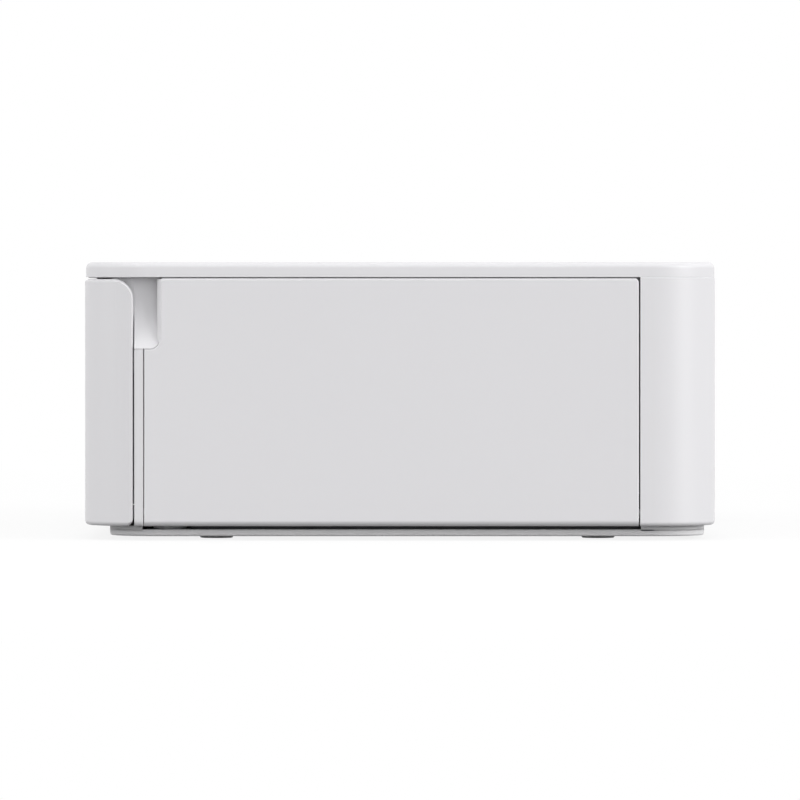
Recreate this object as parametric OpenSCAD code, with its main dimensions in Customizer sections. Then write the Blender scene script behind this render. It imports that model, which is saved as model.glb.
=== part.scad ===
// Compact photo printer: X across (ink door on +X), Y front to back, Z up, feet bottoms at Z = 0.

/* [Case] */
// Overall width
body_w = 182.2; // [180:0.2:190]
// Overall depth
body_d = 133; // [132:0.5:140]
// Overall height, feet included
body_h = 58.4; // [57:0.2:64]
// Plan radius of the case corners
corner_r = 13.5; // [12:0.5:14]
// Wall of the moulded case parts
wall = 2; // [1.6:0.1:2.2]
// Thickness of the top plate
top_t = 3; // [2.6:0.1:3.4]
// Fillet round the top plate's upper edge
top_fillet = 1.2; // [0.5:0.1:1.2]

/* [Base] */
// How far the feet stand out of the pan
foot_out = 0.8; // [0.2:0.1:1]
// Radius of a foot pad
foot_r = 3.5; // [2.5:0.1:4.5]
// Depth of a foot's seat in the pan
foot_seat = 0.8; // [0.4:0.1:1]
// Thickness of the bottom pan
pan_t = 1.4; // [1.2:0.1:1.8]
// Gap between pan and case, seen from outside
pan_gap = 0.8; // [0.3:0.1:1.2]
// Pan's inset at the front
pan_front = 5.2; // [5:0.1:6]
// Pan's inset at the back
pan_back = 2.2; // [2.1:0.1:3]
// Pan's inset at the sides
pan_side = 4.2; // [4.1:0.1:5]

/* [Front cover and ink door] */
// Length of the front cover's side return
cover_return = 10.45; // [9:0.05:10.5]
// Gap behind the front cover
cover_gap = 0.3; // [0.3:0.05:0.5]
// Gap between front cover and top plate
cover_top_gap = 0.6; // [0.5:0.1:0.9]
// Radius of the return's upper corner
cover_corner = 4; // [3:0.1:5]
// Radius of the return's lower corner
cover_foot = 1.2; // [1:0.1:1.5]
// Width of the jamb strip in front of the ink door
jamb_w = 1.9; // [1.8:0.05:2.4]
// Seam between jamb and ink door
door_seam = 0.15; // [0.12:0.01:0.3]
// Gap behind the ink door
door_gap = 0.3; // [0.3:0.05:0.5]
// Gap between ink door and top plate
door_top_gap = 0.4; // [0.3:0.05:0.6]
// Length of the case side behind the ink door
rear_len = 16.1; // [15:0.05:18]
// Radius of the hinge stubs
stub_r = 0.95; // [0.8:0.05:1]

/* [Finger scoop] */
// Depth of the scoop under the top plate
scoop_depth = 5; // [3:0.1:6]
// Height of the scoop
scoop_h = 15.2; // [12:0.1:18]
// Length of the scoop's notch in the door
scoop_l = 3.4; // [3:0.1:5]

/* [Keys and display] */
// Travel of a key
key_travel = 0.5; // [0.3:0.1:0.6]
// Gap round a key
key_gap = 0.2; // [0.15:0.05:0.3]
// Height of the key tops below the plate's face
key_sink = 0.1; // [0:0.05:0.2]
// Radius of the small round keys
key_r = 4.5; // [3.5:0.1:5]
// Radius of the power key
power_r = 3.5; // [3:0.1:4]
// Radius of the middle key
ok_r = 5.6; // [4.5:0.1:5.8]
// Outer radius of the direction ring
ring_r = 13.5; // [12:0.1:15]
// Length of the print key
print_l = 22; // [18:0.5:26]
// Width of the print key
print_w = 9; // [7:0.5:10]
// Width of the display window
window_w = 84; // [80:0.5:86]
// Depth of the display window, front to back
window_d = 64; // [60:0.5:68]
// Thickness of the display window
window_t = 0.95; // [0.6:0.05:1.2]

/* [Print mechanism] */
// Thickness of the steel side plates
plate_t = 1.2; // [1:0.1:1.5]
// Height of the paper path above the base
paper_z = 21; // [20:0.1:21.5]
// Radius of the platen roller
platen_r = 7; // [5.5:0.1:7]
// Radius of the feed roller above the paper
capstan_r = 2; // [1.6:0.1:2]
// Radius of the counter roller below the paper
pinch_r = 3; // [2.5:0.1:3]
// Radius of the pickup roller
pickup_r = 7; // [6:0.1:7]
// Lift of the print head
head_lift = 3.9; // [3:0.1:3.9]
// Turn of the cam shaft from head up to head down
cam_turn = 170; // [150:5:175]
// Gear module
gear_m = 0.8; // [0.8:0.01:0.81]
// Face width of the gears
gear_t = 4; // [3:0.1:4.2]
// Running clearance of shafts
run = 0.05; // [0.03:0.01:0.08]

/* [Ink cassette] */
// Outer radius of the cassette's tubes
tube_r = 11; // [10.6:0.1:11.1]
// Wall of the tubes
tube_wall = 1.2; // [1:0.1:1.3]
// Radius of the film wound on the supply spool
supply_r = 9; // [7:0.1:9.2]
// Radius of the film wound on the take-up spool
takeup_r = 6.5; // [5:0.1:8]
// How far the cassette pops out behind the closed door
pop_out = 2; // [1:0.1:2]

/* [Hidden] */
$fn = 64;

case_color = "whitesmoke";
steel_color = "silver";
gear_color = "ivory";
dark_color = "dimgray";
board_color = "seagreen";

// Case levels and edges
hw = body_w / 2;
hd = body_d / 2;
z_pan = foot_out + pan_t;
z_body = z_pan + pan_gap;
z_top = body_h - top_t;
y_cover = -hd + cover_return;
y_jamb = y_cover + cover_gap;
y_jamb_in = y_jamb + jamb_w;
y_door = y_jamb_in + door_seam;
y_rear = hd - rear_len;
y_door_end = y_rear - door_gap;
lip = 0.15;
clear = 0.3;
neck_x = hw - 17.1;
neck_t = 1.5;
neck_h = 5;

// Hinges: the cover and the door both turn about stubs at their lower edges
cover_axis = [-hd + 3.2, z_body + 1.6];
door_axis = [hw - 2.4, z_body + 2.6];
cover_stub_x = hw - 21.1;
ear_t = 3;
arm_t = 4;
door_lug = 3;
door_lug_r = 2;
sweep_z = door_axis[1] + 4;

// Scoop: a dish round an axis along Y
z_scoop = z_top - scoop_h;
dish_r = (scoop_h * scoop_h + scoop_depth * scoop_depth) / (2 * scoop_depth);
y_scoop = y_door + scoop_l;
scoop_back = 9;
notch_r = 2.2;

// Columns that the screws go up into
column_r = 3.5;
column_x = hw - 11.1;
column_front = y_jamb_in + 5.35;
column_rear = hd - 10.5;
screw_r = 1.2;
screw_head_r = 2.5;
screw_head_h = 0.6;
screw_up = 8;

// Mechanism, seen along X: points are [y, z]
tray_t = 1.6;
z_tray = z_pan + tray_t;
mech_x0 = -40;
mech_x1 = hw - 11.1;
plate_x0 = mech_x0 - plate_t;
plate_x1 = mech_x1 + plate_t;
plate_top = 50.5;
plate_y = [y_jamb_in + 3.85, hd - 16.5];
plate_step = 6.5;
tray_y = [y_jamb_in + 9.85, hd - 15.5];
gear_x = plate_x0 - 3.8 - gear_t;
paper_x0 = -32;
paper_x1 = mech_x1 - 8;
platen = [8, paper_z - platen_r];
capstan = [34, paper_z + 0.1 + capstan_r];
pinch = [capstan[0], paper_z - pinch_r];
pickup = [-38, paper_z + 0.2 + pickup_r];
shaft_r = 2;
small_shaft_r = 1.5;

// Gear train: teeth, and centres that follow from the module
capstan_n = 14;
takeup_n = 20;
feed_idler_n = 34;
feed_pinion_n = 12;
pickup_idler_n = 25;
pickup_n = 30;
cam_n = 16;
head_pinion_n = 10;
function reach(a, b) = gear_m * (a + b) / 2;
function toward(p, angle, far) = p + far * [cos(angle), sin(angle)];
function bearing(p, q) = atan2(q[1] - p[1], q[0] - p[0]);
// Point at distance ra from p and rb from q, to the left of the line from p to q
function meet(p, q, ra, rb) =
    let (d = norm(q - p), along = (ra * ra - rb * rb + d * d) / (2 * d), up = sqrt(ra * ra - along * along))
    toward(toward(p, bearing(p, q), along), bearing(p, q) + 90, up);
// Phase of a gear of nb teeth that meshes with one of na teeth at phase pa, in direction dir
function mesh_phase(na, pa, nb, dir) = dir + 180 - 180 / nb + (dir - pa) * na / nb;

takeup = [capstan[0], capstan[1] + reach(capstan_n, takeup_n)];
supply = [-18, takeup[1]];
idler_dir = 195.4;
feed_idler_at = toward(capstan, idler_dir, reach(capstan_n, feed_idler_n));
feed_pinion_at = toward(feed_idler_at, 180, reach(feed_idler_n, feed_pinion_n));
pickup_idler_at = meet(feed_pinion_at, pickup, reach(feed_pinion_n, pickup_idler_n),
                       reach(pickup_idler_n, pickup_n));
takeup_phase = mesh_phase(capstan_n, 0, takeup_n, 90);
feed_idler_phase = mesh_phase(capstan_n, 0, feed_idler_n, idler_dir);
feed_pinion_phase = mesh_phase(feed_idler_n, feed_idler_phase, feed_pinion_n, 180);
pickup_idler_phase = mesh_phase(feed_pinion_n, feed_pinion_phase, pickup_idler_n,
                                bearing(feed_pinion_at, pickup_idler_at));
pickup_phase = mesh_phase(pickup_idler_n, pickup_idler_phase, pickup_n, bearing(pickup_idler_at, pickup));

// Head, cams and cassette
head_y = platen[0];
head_z = paper_z + 0.5 + head_lift;
sink_z = head_z + 2.8;
carriage_z = sink_z + 8.8;
carriage_t = 1.5;
pad_h = 3;
cam_low = 2;
cam_play = 0.5;
cam = [head_y, carriage_z + carriage_t + pad_h + cam_low + cam_play];
head_pinion_at = toward(cam, 180, reach(cam_n, head_pinion_n));
head_pinion_phase = mesh_phase(cam_n, 0, head_pinion_n, 180);
tab_w = 4;
tab_t = 2;
tab_z = carriage_z + carriage_t - tab_t;
shelf_t = 0.8;
spring_z = tab_z - head_lift - 2.3;
spring_x = [plate_x0 - 2, plate_x1 + 1.8];
case_x0 = mech_x0 + 2;
case_x1 = mech_x1 - 2;
bar_z = paper_z + 1.2;
bar_t = 2.2;
bar_y = [supply[0] + 3, takeup[0] - 3];
cap_r = 10;
cap_x = case_x1 + 7.8;
spool_core = 4;
hub_r = 3;
nose_r = 2.6;
slot_turn = 55;

// Bezel behind the ink door, and the latch in it
bezel_x = hw - 5.8;
bezel_t = 1.5;
bezel_y = [y_scoop + 0.1, y_rear - 0.1];
latch = [plate_x1 + 1.9, supply[0] - 13.9];
latch_z = [supply[1] - 5, supply[1] + 5];
latch_lug = 1.5;
hook_x = cap_x + 1.1;

// Motors
motor_plate_x = gear_x - 1.5 - plate_t;
feed_motor_r = 12.5;
head_motor_r = 8;
motor_shaft_r = 1;
motor_posts = [[-26, 6], [36, 6], [-24, 44], [22, 46]];
motor_post_r = 1.8;

// Board and what stands on it
board_z = z_tray + 0.2;
board_t = 1.2;
board_top = board_z + board_t;
board_x = [-hw + 5.1, motor_plate_x - 0.3];
chip_h = 1.4;
inlet_x = -hw + 23;
usb_x = -hw + 35;
card_w = 25.6;
card_l = 26;
card_x = -column_x + column_r + 0.1 + card_w / 2;
motor_plate_y = [y_jamb_in + card_l + 0.2, motor_posts[1][0] + 2.35];

// Fan
fan_size = 25;
fan_t = 8;
fan_at = [-hw + 31, 34];
fan_y = hd - wall - 0.2 - fan_t;

// Keys and display
key_top = body_h - key_sink;
flange = 1;
flange_t = 0.8;
key_low = z_top - 0.05 - flange_t;
stem_z = key_low - 0.5;
nav_at = [column_x - 36, -2];
print_at = nav_at + [0, -34];
home_at = nav_at + [-22, -22];
back_at = nav_at + [22, -22];
minus_at = nav_at + [-22, 22];
plus_at = nav_at + [22, 22];
power_at = nav_at + [22, 40];
window_at = [-38, -6];
panel_t = 2.4;
key_board_t = 1.2;
dome_h = 0.5;
key_board_z = stem_z - key_travel - 0.05 - dome_h - key_board_t;
key_board_at = [nav_at + [-32, -48], nav_at + [30, 48]];
key_posts = [key_board_at[0] + [4, 4], nav_at + [26, -44], nav_at + [-28, 44], key_board_at[1] + [-2.5, -2.5]];

// ---- Shared shapes ----

module outline(inset = 0) {
    r = corner_r - inset;
    square([body_w - 2 * inset, body_d - 2 * corner_r], center = true);
    square([body_w - 2 * corner_r, body_d - 2 * inset], center = true);
    for (x = [-1, 1], y = [-1, 1])
        translate([x * (hw - corner_r), y * (hd - corner_r)]) circle(r);
}

module box(low, high) {
    translate(low) cube(high - low);
}

// Draws its children in the plane of Y and Z, with their height along X
module across(x = 0) {
    translate([x, 0, 0]) rotate([90, 0, 90]) children();
}

module shaft(at, x0, x1, r) {
    across(x0) translate(at) cylinder(h = x1 - x0, r = r);
}

module at_columns() {
    for (x = [-1, 1], y = [column_front, column_rear]) translate([x * column_x, y, 0]) children();
}

module quarter(f) {
    intersection() {
        circle(f);
        square(f);
    }
}

// Slab with rounded plan corners and a fillet round its upper edge
module soft_slab(z0, z1, f) {
    translate([0, 0, z0]) linear_extrude(z1 - f - z0) outline();
    translate([0, 0, z1 - f]) linear_extrude(f) outline(f);
    for (a = [0, 180]) rotate(a) {
        translate([hw - f, 0, z1 - f]) rotate([90, 0, 0])
            linear_extrude(body_d - 2 * corner_r, center = true) quarter(f);
        translate([0, hd - f, z1 - f]) rotate([90, 0, 90])
            linear_extrude(body_w - 2 * corner_r, center = true) quarter(f);
        for (c = [[1, 1, 0], [-1, 1, 90]]) translate([c[0] * (hw - corner_r), c[1] * (hd - corner_r), z1 - f])
            rotate(c[2]) rotate_extrude(angle = 90) translate([corner_r - f, 0]) quarter(f);
    }
}

module gear(at, teeth, phase, x = gear_x, t = gear_t, bore = 0) {
    pitch_r = gear_m * teeth / 2;
    tip_r = pitch_r + 0.8 * gear_m;
    root_r = pitch_r - 1.1 * gear_m;
    steps = [[-0.29, root_r], [-0.1, tip_r], [0.1, tip_r], [0.29, root_r]];
    across(x) translate(at) linear_extrude(t) difference() {
        polygon([for (k = [0 : teeth - 1]) for (s = steps)
            let (a = phase + (k + s[0]) * 360 / teeth) s[1] * [cos(a), sin(a)]]);
        if (bore > 0) circle(bore);
    }
}

// Coil spring along Z, its wire a small polygon swept round a helix
module coil(r, wire, h, turns) {
    sides = 6;
    steps = 14 * turns;
    points = [for (i = [0 : steps]) for (j = [0 : sides - 1])
        let (a = 360 * turns * i / steps, b = 360 * j / sides, rr = r + wire * cos(b))
        [rr * cos(a), rr * sin(a), wire + (h - 2 * wire) * i / steps + wire * sin(b)]];
    polyhedron(points, concat(
        [[for (j = [0 : sides - 1]) j]],
        [for (i = [0 : steps - 1]) for (j = [0 : sides - 1]) let (k = (j + 1) % sides)
            [i * sides + j, (i + 1) * sides + j, (i + 1) * sides + k, i * sides + k]],
        [[for (j = [sides - 1 : -1 : 0]) steps * sides + j]]));
}

// ---- Case ----

module pan_plan() {
    r = corner_r - 2.5;
    x = hw - pan_side;
    y0 = -hd + pan_front;
    y1 = hd - pan_back;
    translate([-x + r, y0]) square([2 * (x - r), y1 - y0]);
    translate([-x, y0 + r]) square([2 * x, y1 - y0 - 2 * r]);
    for (sx = [-x + r, x - r], sy = [y0 + r, y1 - r]) translate([sx, sy]) circle(r);
}

foot_at = [for (x = [-1, 1] * (hw - 21.1), y = [-hd + 27.6, hd - 24.5]) [x, y]];

module base_pan() color(case_color) difference() {
    union() {
        translate([0, 0, foot_out]) linear_extrude(pan_t) pan_plan();
        for (x = [board_x[0] + 4, board_x[1] - 4], y = [-40, 46])
            translate([x, y, z_pan]) cylinder(h = board_z - z_pan, r = 2);
    }
    for (p = foot_at) translate([p[0], p[1], foot_out - 0.1]) cylinder(h = foot_seat + 0.1, r = foot_r + 0.1);
    at_columns() {
        translate([0, 0, foot_out - 0.1]) cylinder(h = pan_t + 0.2, r = screw_r + 0.1);
        translate([0, 0, foot_out - 0.1]) cylinder(h = screw_head_h + 0.2, r = screw_head_r + 0.1);
    }
}

module rubber_feet() color(dark_color) {
    for (p = foot_at) translate([p[0], p[1], 0]) {
        cylinder(h = foot_out, r1 = foot_r - 0.3, r2 = foot_r);
        translate([0, 0, foot_out]) cylinder(h = foot_seat, r = foot_r);
    }
}

module case_screws() color(steel_color) {
    at_columns() {
        translate([0, 0, foot_out + 0.1]) cylinder(h = screw_head_h, r = screw_head_r);
        translate([0, 0, foot_out]) cylinder(h = screw_up, r = screw_r);
    }
}

// Notch of the ink door at the scoop, seen along X, with a rounded inner corner
module notch_plan(inset = 0) difference() {
    translate([y_door - 3, z_scoop + inset]) square([scoop_l + 3 - inset, scoop_h]);
    difference() {
        translate([y_scoop - notch_r, z_scoop]) square(notch_r);
        translate([y_scoop - notch_r, z_scoop + notch_r]) circle(notch_r - inset);
    }
}

// Dished floor behind the cover's corner and the door's notch
module scoop_block() difference() {
    union() {
        intersection() {
            translate([0, 0, z_scoop - 5]) linear_extrude(z_top - z_scoop + 5) outline(wall + cover_gap);
            box([hw - scoop_back, y_cover - 4.4, 0], [hw, y_jamb, body_h]);
        }
        intersection() {
            translate([0, 0, z_scoop]) linear_extrude(scoop_h) outline();
            box([hw - scoop_back, y_jamb, z_scoop], [hw, y_scoop - door_seam, z_top]);
            across(hw - scoop_back) linear_extrude(scoop_back) notch_plan(door_seam);
        }
        box([bezel_x, y_jamb_in - 0.5, sweep_z], [hw - wall - 0.4, y_scoop - door_seam, z_top]);
    }
    translate([hw - scoop_depth + dish_r, hd, z_top]) rotate([90, 0, 0]) cylinder(h = 2 * body_d, r = dish_r, $fn = 128);
}

module wall_ring() {
    difference() {
        outline();
        outline(wall);
        translate([-body_w, y_jamb - body_d]) square([2 * body_w, body_d]);
        translate([0, y_jamb_in]) square([body_w, y_rear - y_jamb_in]);
    }
}

module main_shell() color(case_color) difference() {
    union() {
        translate([0, 0, z_body]) linear_extrude(z_top - lip - z_body) wall_ring();
        translate([0, 0, z_body]) linear_extrude(z_top - z_body) intersection() {
            wall_ring();
            outline(0.8);
        }
        // Front bulkhead, cut back under the scoop's dish
        difference() {
            translate([0, 0, z_body]) linear_extrude(z_top - z_body) intersection() {
                outline();
                translate([-hw, y_jamb]) square([body_w, jamb_w]);
            }
            box([hw - scoop_back + 0.5, y_jamb - 1, z_scoop], [hw + 1, y_jamb_in + 1, z_top + 1]);
        }
        scoop_block();
        // Jambs that hold the door's stubs
        box([bezel_x, y_jamb, z_body], [hw - wall, y_jamb_in, z_scoop]);
        box([bezel_x, y_rear, z_body], [hw - wall / 2, y_rear + wall, z_top]);
        // Columns, tied to the walls next to them
        at_columns() translate([0, 0, z_pan]) cylinder(h = z_top - z_pan, r = column_r);
        for (s = [-1, 1]) {
            box([s * column_x - 1, column_rear, z_body], [s * column_x + 1, hd - wall / 2, z_top]);
            box([s * column_x - 1, y_jamb + 0.5, z_body], [s * column_x + 1, column_front, z_top]);
        }
        // Arms and stubs for the front cover
        for (m = [0, 1]) mirror([m, 0, 0])
            translate([cover_stub_x - ear_t / 2 - clear - arm_t, cover_axis[0], cover_axis[1]]) {
                rotate([0, 90, 0]) cylinder(h = arm_t + clear + ear_t, r = stub_r);
                box([0, -stub_r, 0], [arm_t, y_jamb - cover_axis[0] + 0.5, 2.2]);
                box([0, 0, -stub_r], [arm_t, y_jamb - cover_axis[0] + 0.5, 0.5]);
            }
    }
    // Mouth of the paper compartment
    box([mech_x0 + 3, y_jamb - 1, z_tray], [mech_x1 - 3.6, y_jamb_in + 1, paper_z + 3]);
    // Rear paper slot
    box([paper_x0 - 2, hd - wall - 1, paper_z - 2], [paper_x1 + 2, hd + 1, paper_z + 3]);
    // Card slot
    box([card_x - card_w / 2 + 0.4, y_jamb - 1, board_top + 0.2],
        [card_x + card_w / 2 - 0.4, y_jamb_in + 1, board_top + 2.9]);
    // Power inlet and USB socket
    box([inlet_x - 4.7, hd - wall - 1, board_top], [inlet_x + 4.7, hd + 1, board_top + 11.2]);
    box([usb_x - 4.7, hd - wall - 1, board_top], [usb_x + 4.7, hd + 1, board_top + 3.4]);
    // Vents behind the fan and in the far side
    for (i = [-3 : 3]) box([fan_at[0] + 3 * i - 0.8, hd - wall - 1, fan_at[1] - 9],
                           [fan_at[0] + 3 * i + 0.8, hd + 1, fan_at[1] + 9]);
    for (i = [-5 : 5]) box([-hw - 1, 3.2 * i - 0.8 + 14, 22], [-hw + wall + 1, 3.2 * i + 0.8 + 14, 44]);
    // Stub bores
    translate([door_axis[0], y_jamb_in - 1.6, door_axis[1]]) rotate([-90, 0, 0]) cylinder(h = 2, r = stub_r + run);
    translate([door_axis[0], y_rear - 1, door_axis[1]]) rotate([-90, 0, 0]) cylinder(h = 4, r = stub_r + run);
    at_columns() translate([0, 0, z_pan - 1]) cylinder(h = foot_out + screw_up - z_pan + 1.5, r = screw_r + run);
}

module top_plate() color(case_color) difference() {
    union() {
        soft_slab(z_top, body_h, top_fillet);
        // Neck behind the front cover's upper edge
        box([-neck_x, -hd + wall + clear, z_top - neck_h], [neck_x, -hd + wall + clear + neck_t, z_top + 0.5]);
        for (x = [-60, -20, 20, 60])
            box([x - neck_t / 2, -hd + wall + clear + 0.5, z_top - neck_h], [x + neck_t / 2, y_jamb - clear, z_top + 0.5]);
        for (p = key_posts) translate([p[0], p[1], key_board_z + key_board_t])
            cylinder(h = z_top + 0.5 - key_board_z - key_board_t, r = 2);
    }
    translate([window_at[0] - window_w / 2, window_at[1] - window_d / 2, body_h - window_t - 0.05])
        cube([window_w, window_d, window_t + 1]);
    translate([window_at[0] - window_w / 2 + 6, window_at[1] - window_d / 2 + 5, z_top - 1])
        cube([window_w - 12, window_d - 10, top_t + 2]);
    for (k = [[home_at, key_r], [back_at, key_r], [minus_at, key_r], [plus_at, key_r], [power_at, power_r],
              [nav_at, ring_r + 0.1]])
        translate([k[0][0], k[0][1], z_top - 1]) cylinder(h = top_t + 2, r = k[1] + key_gap);
    translate([print_at[0], print_at[1], z_top - 1]) linear_extrude(top_t + 2) pill(print_l, print_w, key_gap);
}

module front_cover() color(case_color) {
    z1 = z_top - cover_top_gap;
    far = 2 * body_w;
    difference() {
        translate([0, 0, z_body]) linear_extrude(z1 - z_body) difference() {
            outline();
            outline(wall);
            translate([-body_w, y_cover]) square([2 * body_w, body_d + 10]);
        }
        // Rounded corners of the side returns
        across(-body_w) linear_extrude(far) difference() {
            translate([y_cover - cover_corner, z1 - cover_corner]) square(2 * cover_corner);
            translate([y_cover - cover_corner, z1 - cover_corner]) circle(cover_corner);
            translate([y_cover - 2 * cover_corner, z1 - 2 * cover_corner]) square([cover_corner, 3 * cover_corner]);
        }
        across(-body_w) linear_extrude(far) difference() {
            translate([y_cover - cover_foot, z_body - cover_foot]) square(2 * cover_foot);
            translate([y_cover - cover_foot, z_body + cover_foot]) circle(cover_foot);
        }
    }
    // Ears on the stubs
    for (s = [-1, 1]) difference() {
        translate([s * cover_stub_x, 0, 0]) across(-ear_t / 2) linear_extrude(ear_t) difference() {
            union() {
                translate(cover_axis) circle(1.6);
                translate([-hd + wall - 0.4, z_body]) square([1.6, 6]);
            }
            translate(cover_axis) circle(stub_r + run);
        }
    }
    // Stiffening ribs inside the front wall
    for (x = [-54, -30, 30, 54]) box([x - 0.6, -hd + wall - 0.3, 10], [x + 0.6, -hd + wall + 1.7, z_top - 7]);
}

module ink_door() color(case_color) {
    z1 = z_top - door_top_gap;
    difference() {
        union() {
            difference() {
                translate([0, 0, z_body]) linear_extrude(z1 - z_body) intersection() {
                    difference() {
                        outline();
                        outline(wall);
                    }
                    translate([0, y_door]) square([body_w, y_door_end - y_door]);
                }
                across(0) linear_extrude(body_w) notch_plan();
            }
            for (y = [y_door, y_door_end - door_lug]) translate([door_axis[0], y, door_axis[1]])
                rotate([-90, 0, 0]) cylinder(h = door_lug, r = door_lug_r);
            // Stubs that run in the jambs
            translate([door_axis[0], y_door - 1.4, door_axis[1]]) rotate([-90, 0, 0]) cylinder(h = 2, r = stub_r);
            translate([door_axis[0], y_door_end - 0.5, door_axis[1]]) rotate([-90, 0, 0])
                cylinder(h = 0.5 + door_gap + wall - 0.1, r = stub_r);
            // Snap tabs and ribs on the inside
            for (y = [-36, 14]) box([bezel_x - 0.8, y - 3, z_top - 4.6], [hw - wall + 0.5, y + 3, z_top - 3.4]);
            for (y = [-44, -2, 40]) box([hw - wall - 0.9, y - 0.5, 12], [hw - wall + 0.3, y + 0.5, z_top - 8]);
        }
        // Lower edge rolled under
        translate([0, 0, z_body]) rotate([90, 0, 0]) linear_extrude(2 * body_d, center = true) difference() {
            translate([hw - 1, -1]) square([2, 2]);
            translate([hw - 1, 1]) circle(1);
        }
    }
}

module cassette_profile(grow) {
    for (p = [supply, takeup]) translate(p) circle(tube_r + grow);
    translate([bar_y[0] - grow, bar_z - grow]) square([bar_y[1] - bar_y[0] + 2 * grow, 6 + 2 * grow]);
}

module side_bezel() color(case_color) difference() {
    union() {
        box([bezel_x, bezel_y[0], sweep_z], [bezel_x + bezel_t, bezel_y[1], z_top - 0.1]);
        for (y = [bezel_y[0] + 9.2, bezel_y[1] - 3.8], z = [12, z_top - 7.1]) shaft([y, z], plate_x1, bezel_x + 0.5, 1.8);
        for (z = [latch_z[0] - latch_lug - 0.1, latch_z[1] + 0.1])
            box([latch[0] - 1.6, latch[1] - 1.8, z], [bezel_x + 0.5, latch[1] + 1.8, z + latch_lug]);
    }
    across(0) linear_extrude(hw) cassette_profile(0.9);
    box([bezel_x - 1, latch[1] - 2.8, latch_z[0] - 0.1], [hw, supply[0], latch_z[1] + 0.1]);
    for (y = [-36, 14]) box([bezel_x - 2, y - 3.4, z_top - 5], [hw, y + 3.4, z_top - 2.8]);
    translate([latch[0], latch[1], latch_z[0] - 3]) cylinder(h = 20, r = 1);
}

// ---- Display and keys ----

module display_window() color("black") {
    g = 0.15;
    translate([window_at[0] - window_w / 2 + g, window_at[1] - window_d / 2 + g, body_h - window_t - 0.05])
        cube([window_w - 2 * g, window_d - 2 * g, window_t]);
}

module display_panel() color("darkslategray") {
    translate([window_at[0] - window_w / 2 + 3, window_at[1] - window_d / 2 + 2, z_top - panel_t])
        cube([window_w - 6, window_d - 4, panel_t]);
}

module pill(l, w, grow = 0) {
    square([l - w, w + 2 * grow], center = true);
    for (s = [-1, 1]) translate([s * (l - w) / 2, 0]) circle(w / 2 + grow);
}

module dome(at) {
    translate([at[0], at[1], key_board_z + key_board_t - 0.1]) cylinder(h = dome_h + 0.1, r1 = 2.4, r2 = 1.4);
}

module key_board() color(board_color) {
    box([key_board_at[0][0], key_board_at[0][1], key_board_z], [key_board_at[1][0], key_board_at[1][1], key_board_z + key_board_t]);
    for (p = [home_at, back_at, minus_at, plus_at, power_at, nav_at, print_at]) dome(p);
    for (a = [0 : 90 : 270]) dome(toward(nav_at, a, 11));
}

module round_key(at, r) {
    translate([at[0], at[1], 0]) {
        translate([0, 0, key_low]) cylinder(h = key_top - key_low, r = r);
        translate([0, 0, key_low]) cylinder(h = flange_t, r = r + flange);
        translate([0, 0, stem_z]) cylinder(h = 1, r = 1.2);
    }
}

module power_key() color("gainsboro") round_key(power_at, power_r);
module home_key() color("gainsboro") round_key(home_at, key_r);
module back_key() color("gainsboro") round_key(back_at, key_r);
module plus_key() color("gainsboro") round_key(plus_at, key_r);
module minus_key() color("gainsboro") round_key(minus_at, key_r);
module ok_key() color("gainsboro") round_key(nav_at, ok_r);

module print_key() color("gainsboro") translate([print_at[0], print_at[1], 0]) {
    translate([0, 0, key_low]) linear_extrude(key_top - key_low) pill(print_l, print_w);
    translate([0, 0, key_low]) linear_extrude(flange_t) pill(print_l, print_w, flange);
    translate([0, 0, stem_z]) cylinder(h = 1, r = 1.2);
}

module nav_ring() color("gainsboro") translate([nav_at[0], nav_at[1], 0]) {
    step_z = z_top + 0.4;
    low_z = z_top - 1.1;
    difference() {
        union() {
            translate([0, 0, low_z]) cylinder(h = key_top - 0.1 - low_z, r = ring_r);
            translate([0, 0, low_z]) cylinder(h = 0.5, r = ring_r + flange);
            for (a = [0 : 90 : 270]) rotate(a) translate([11, 0, stem_z]) cylinder(h = 1, r = 0.8);
        }
        translate([0, 0, z_top - 5]) cylinder(h = 10, r = ok_r + 2 * key_gap);
        translate([0, 0, z_top - 5]) cylinder(h = step_z - z_top + 5, r = ok_r + flange + 1);
    }
}

// ---- Print mechanism ----

module chassis_tray() color(dark_color) {
    box([plate_x0 - 3, tray_y[0], z_pan], [plate_x1 + 3, tray_y[1], z_tray]);
    box([mech_x0 + 2, y_jamb_in + 0.1, z_pan], [mech_x1 - 4, tray_y[0] + 1, z_tray]);
    // Guide walls of the paper compartment
    box([mech_x0 + 1.2, y_jamb_in + 0.2, z_tray - 0.5], [mech_x0 + 2.4, bar_y[0] - 1, paper_z + 3]);
    box([mech_x1 - 3, tray_y[0], z_tray - 0.5], [mech_x1 - 1.8, bar_y[0] - 1, paper_z + 3]);
    // Ramp, lower guide and exit shelf
    across(paper_x0 - 2) linear_extrude(paper_x1 - paper_x0 + 4) {
        polygon([[-12, z_tray - 0.5], [-2, z_tray - 0.5], [-2, paper_z - 1.6], [-4, paper_z - 1.6]]);
        polygon([[17, z_tray - 0.5], [29, z_tray - 0.5], [29, paper_z - 0.6], [18, paper_z - 0.6]]);
        translate([39, paper_z - 2.6]) square([hd - wall - 41, 2]);
    }
    for (i = [0 : 3]) let (x = paper_x0 + 2 + i * (paper_x1 - paper_x0 - 4) / 3)
        box([x - 0.8, 40, z_tray - 0.5], [x + 0.8, tray_y[1], paper_z - 2]);
}

module shaft_bores() {
    translate(platen) circle(shaft_r + run);
    translate(pinch) circle(small_shaft_r + run);
    translate(capstan) circle(capstan_r - 0.5 + run);
    translate(pickup) circle(shaft_r + run);
    translate(cam) circle(small_shaft_r + run);
    translate([head_y - tab_w / 2 - 0.2, tab_z - head_lift - 0.2]) square([tab_w + 0.4, tab_t + head_lift + 0.5]);
}

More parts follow.
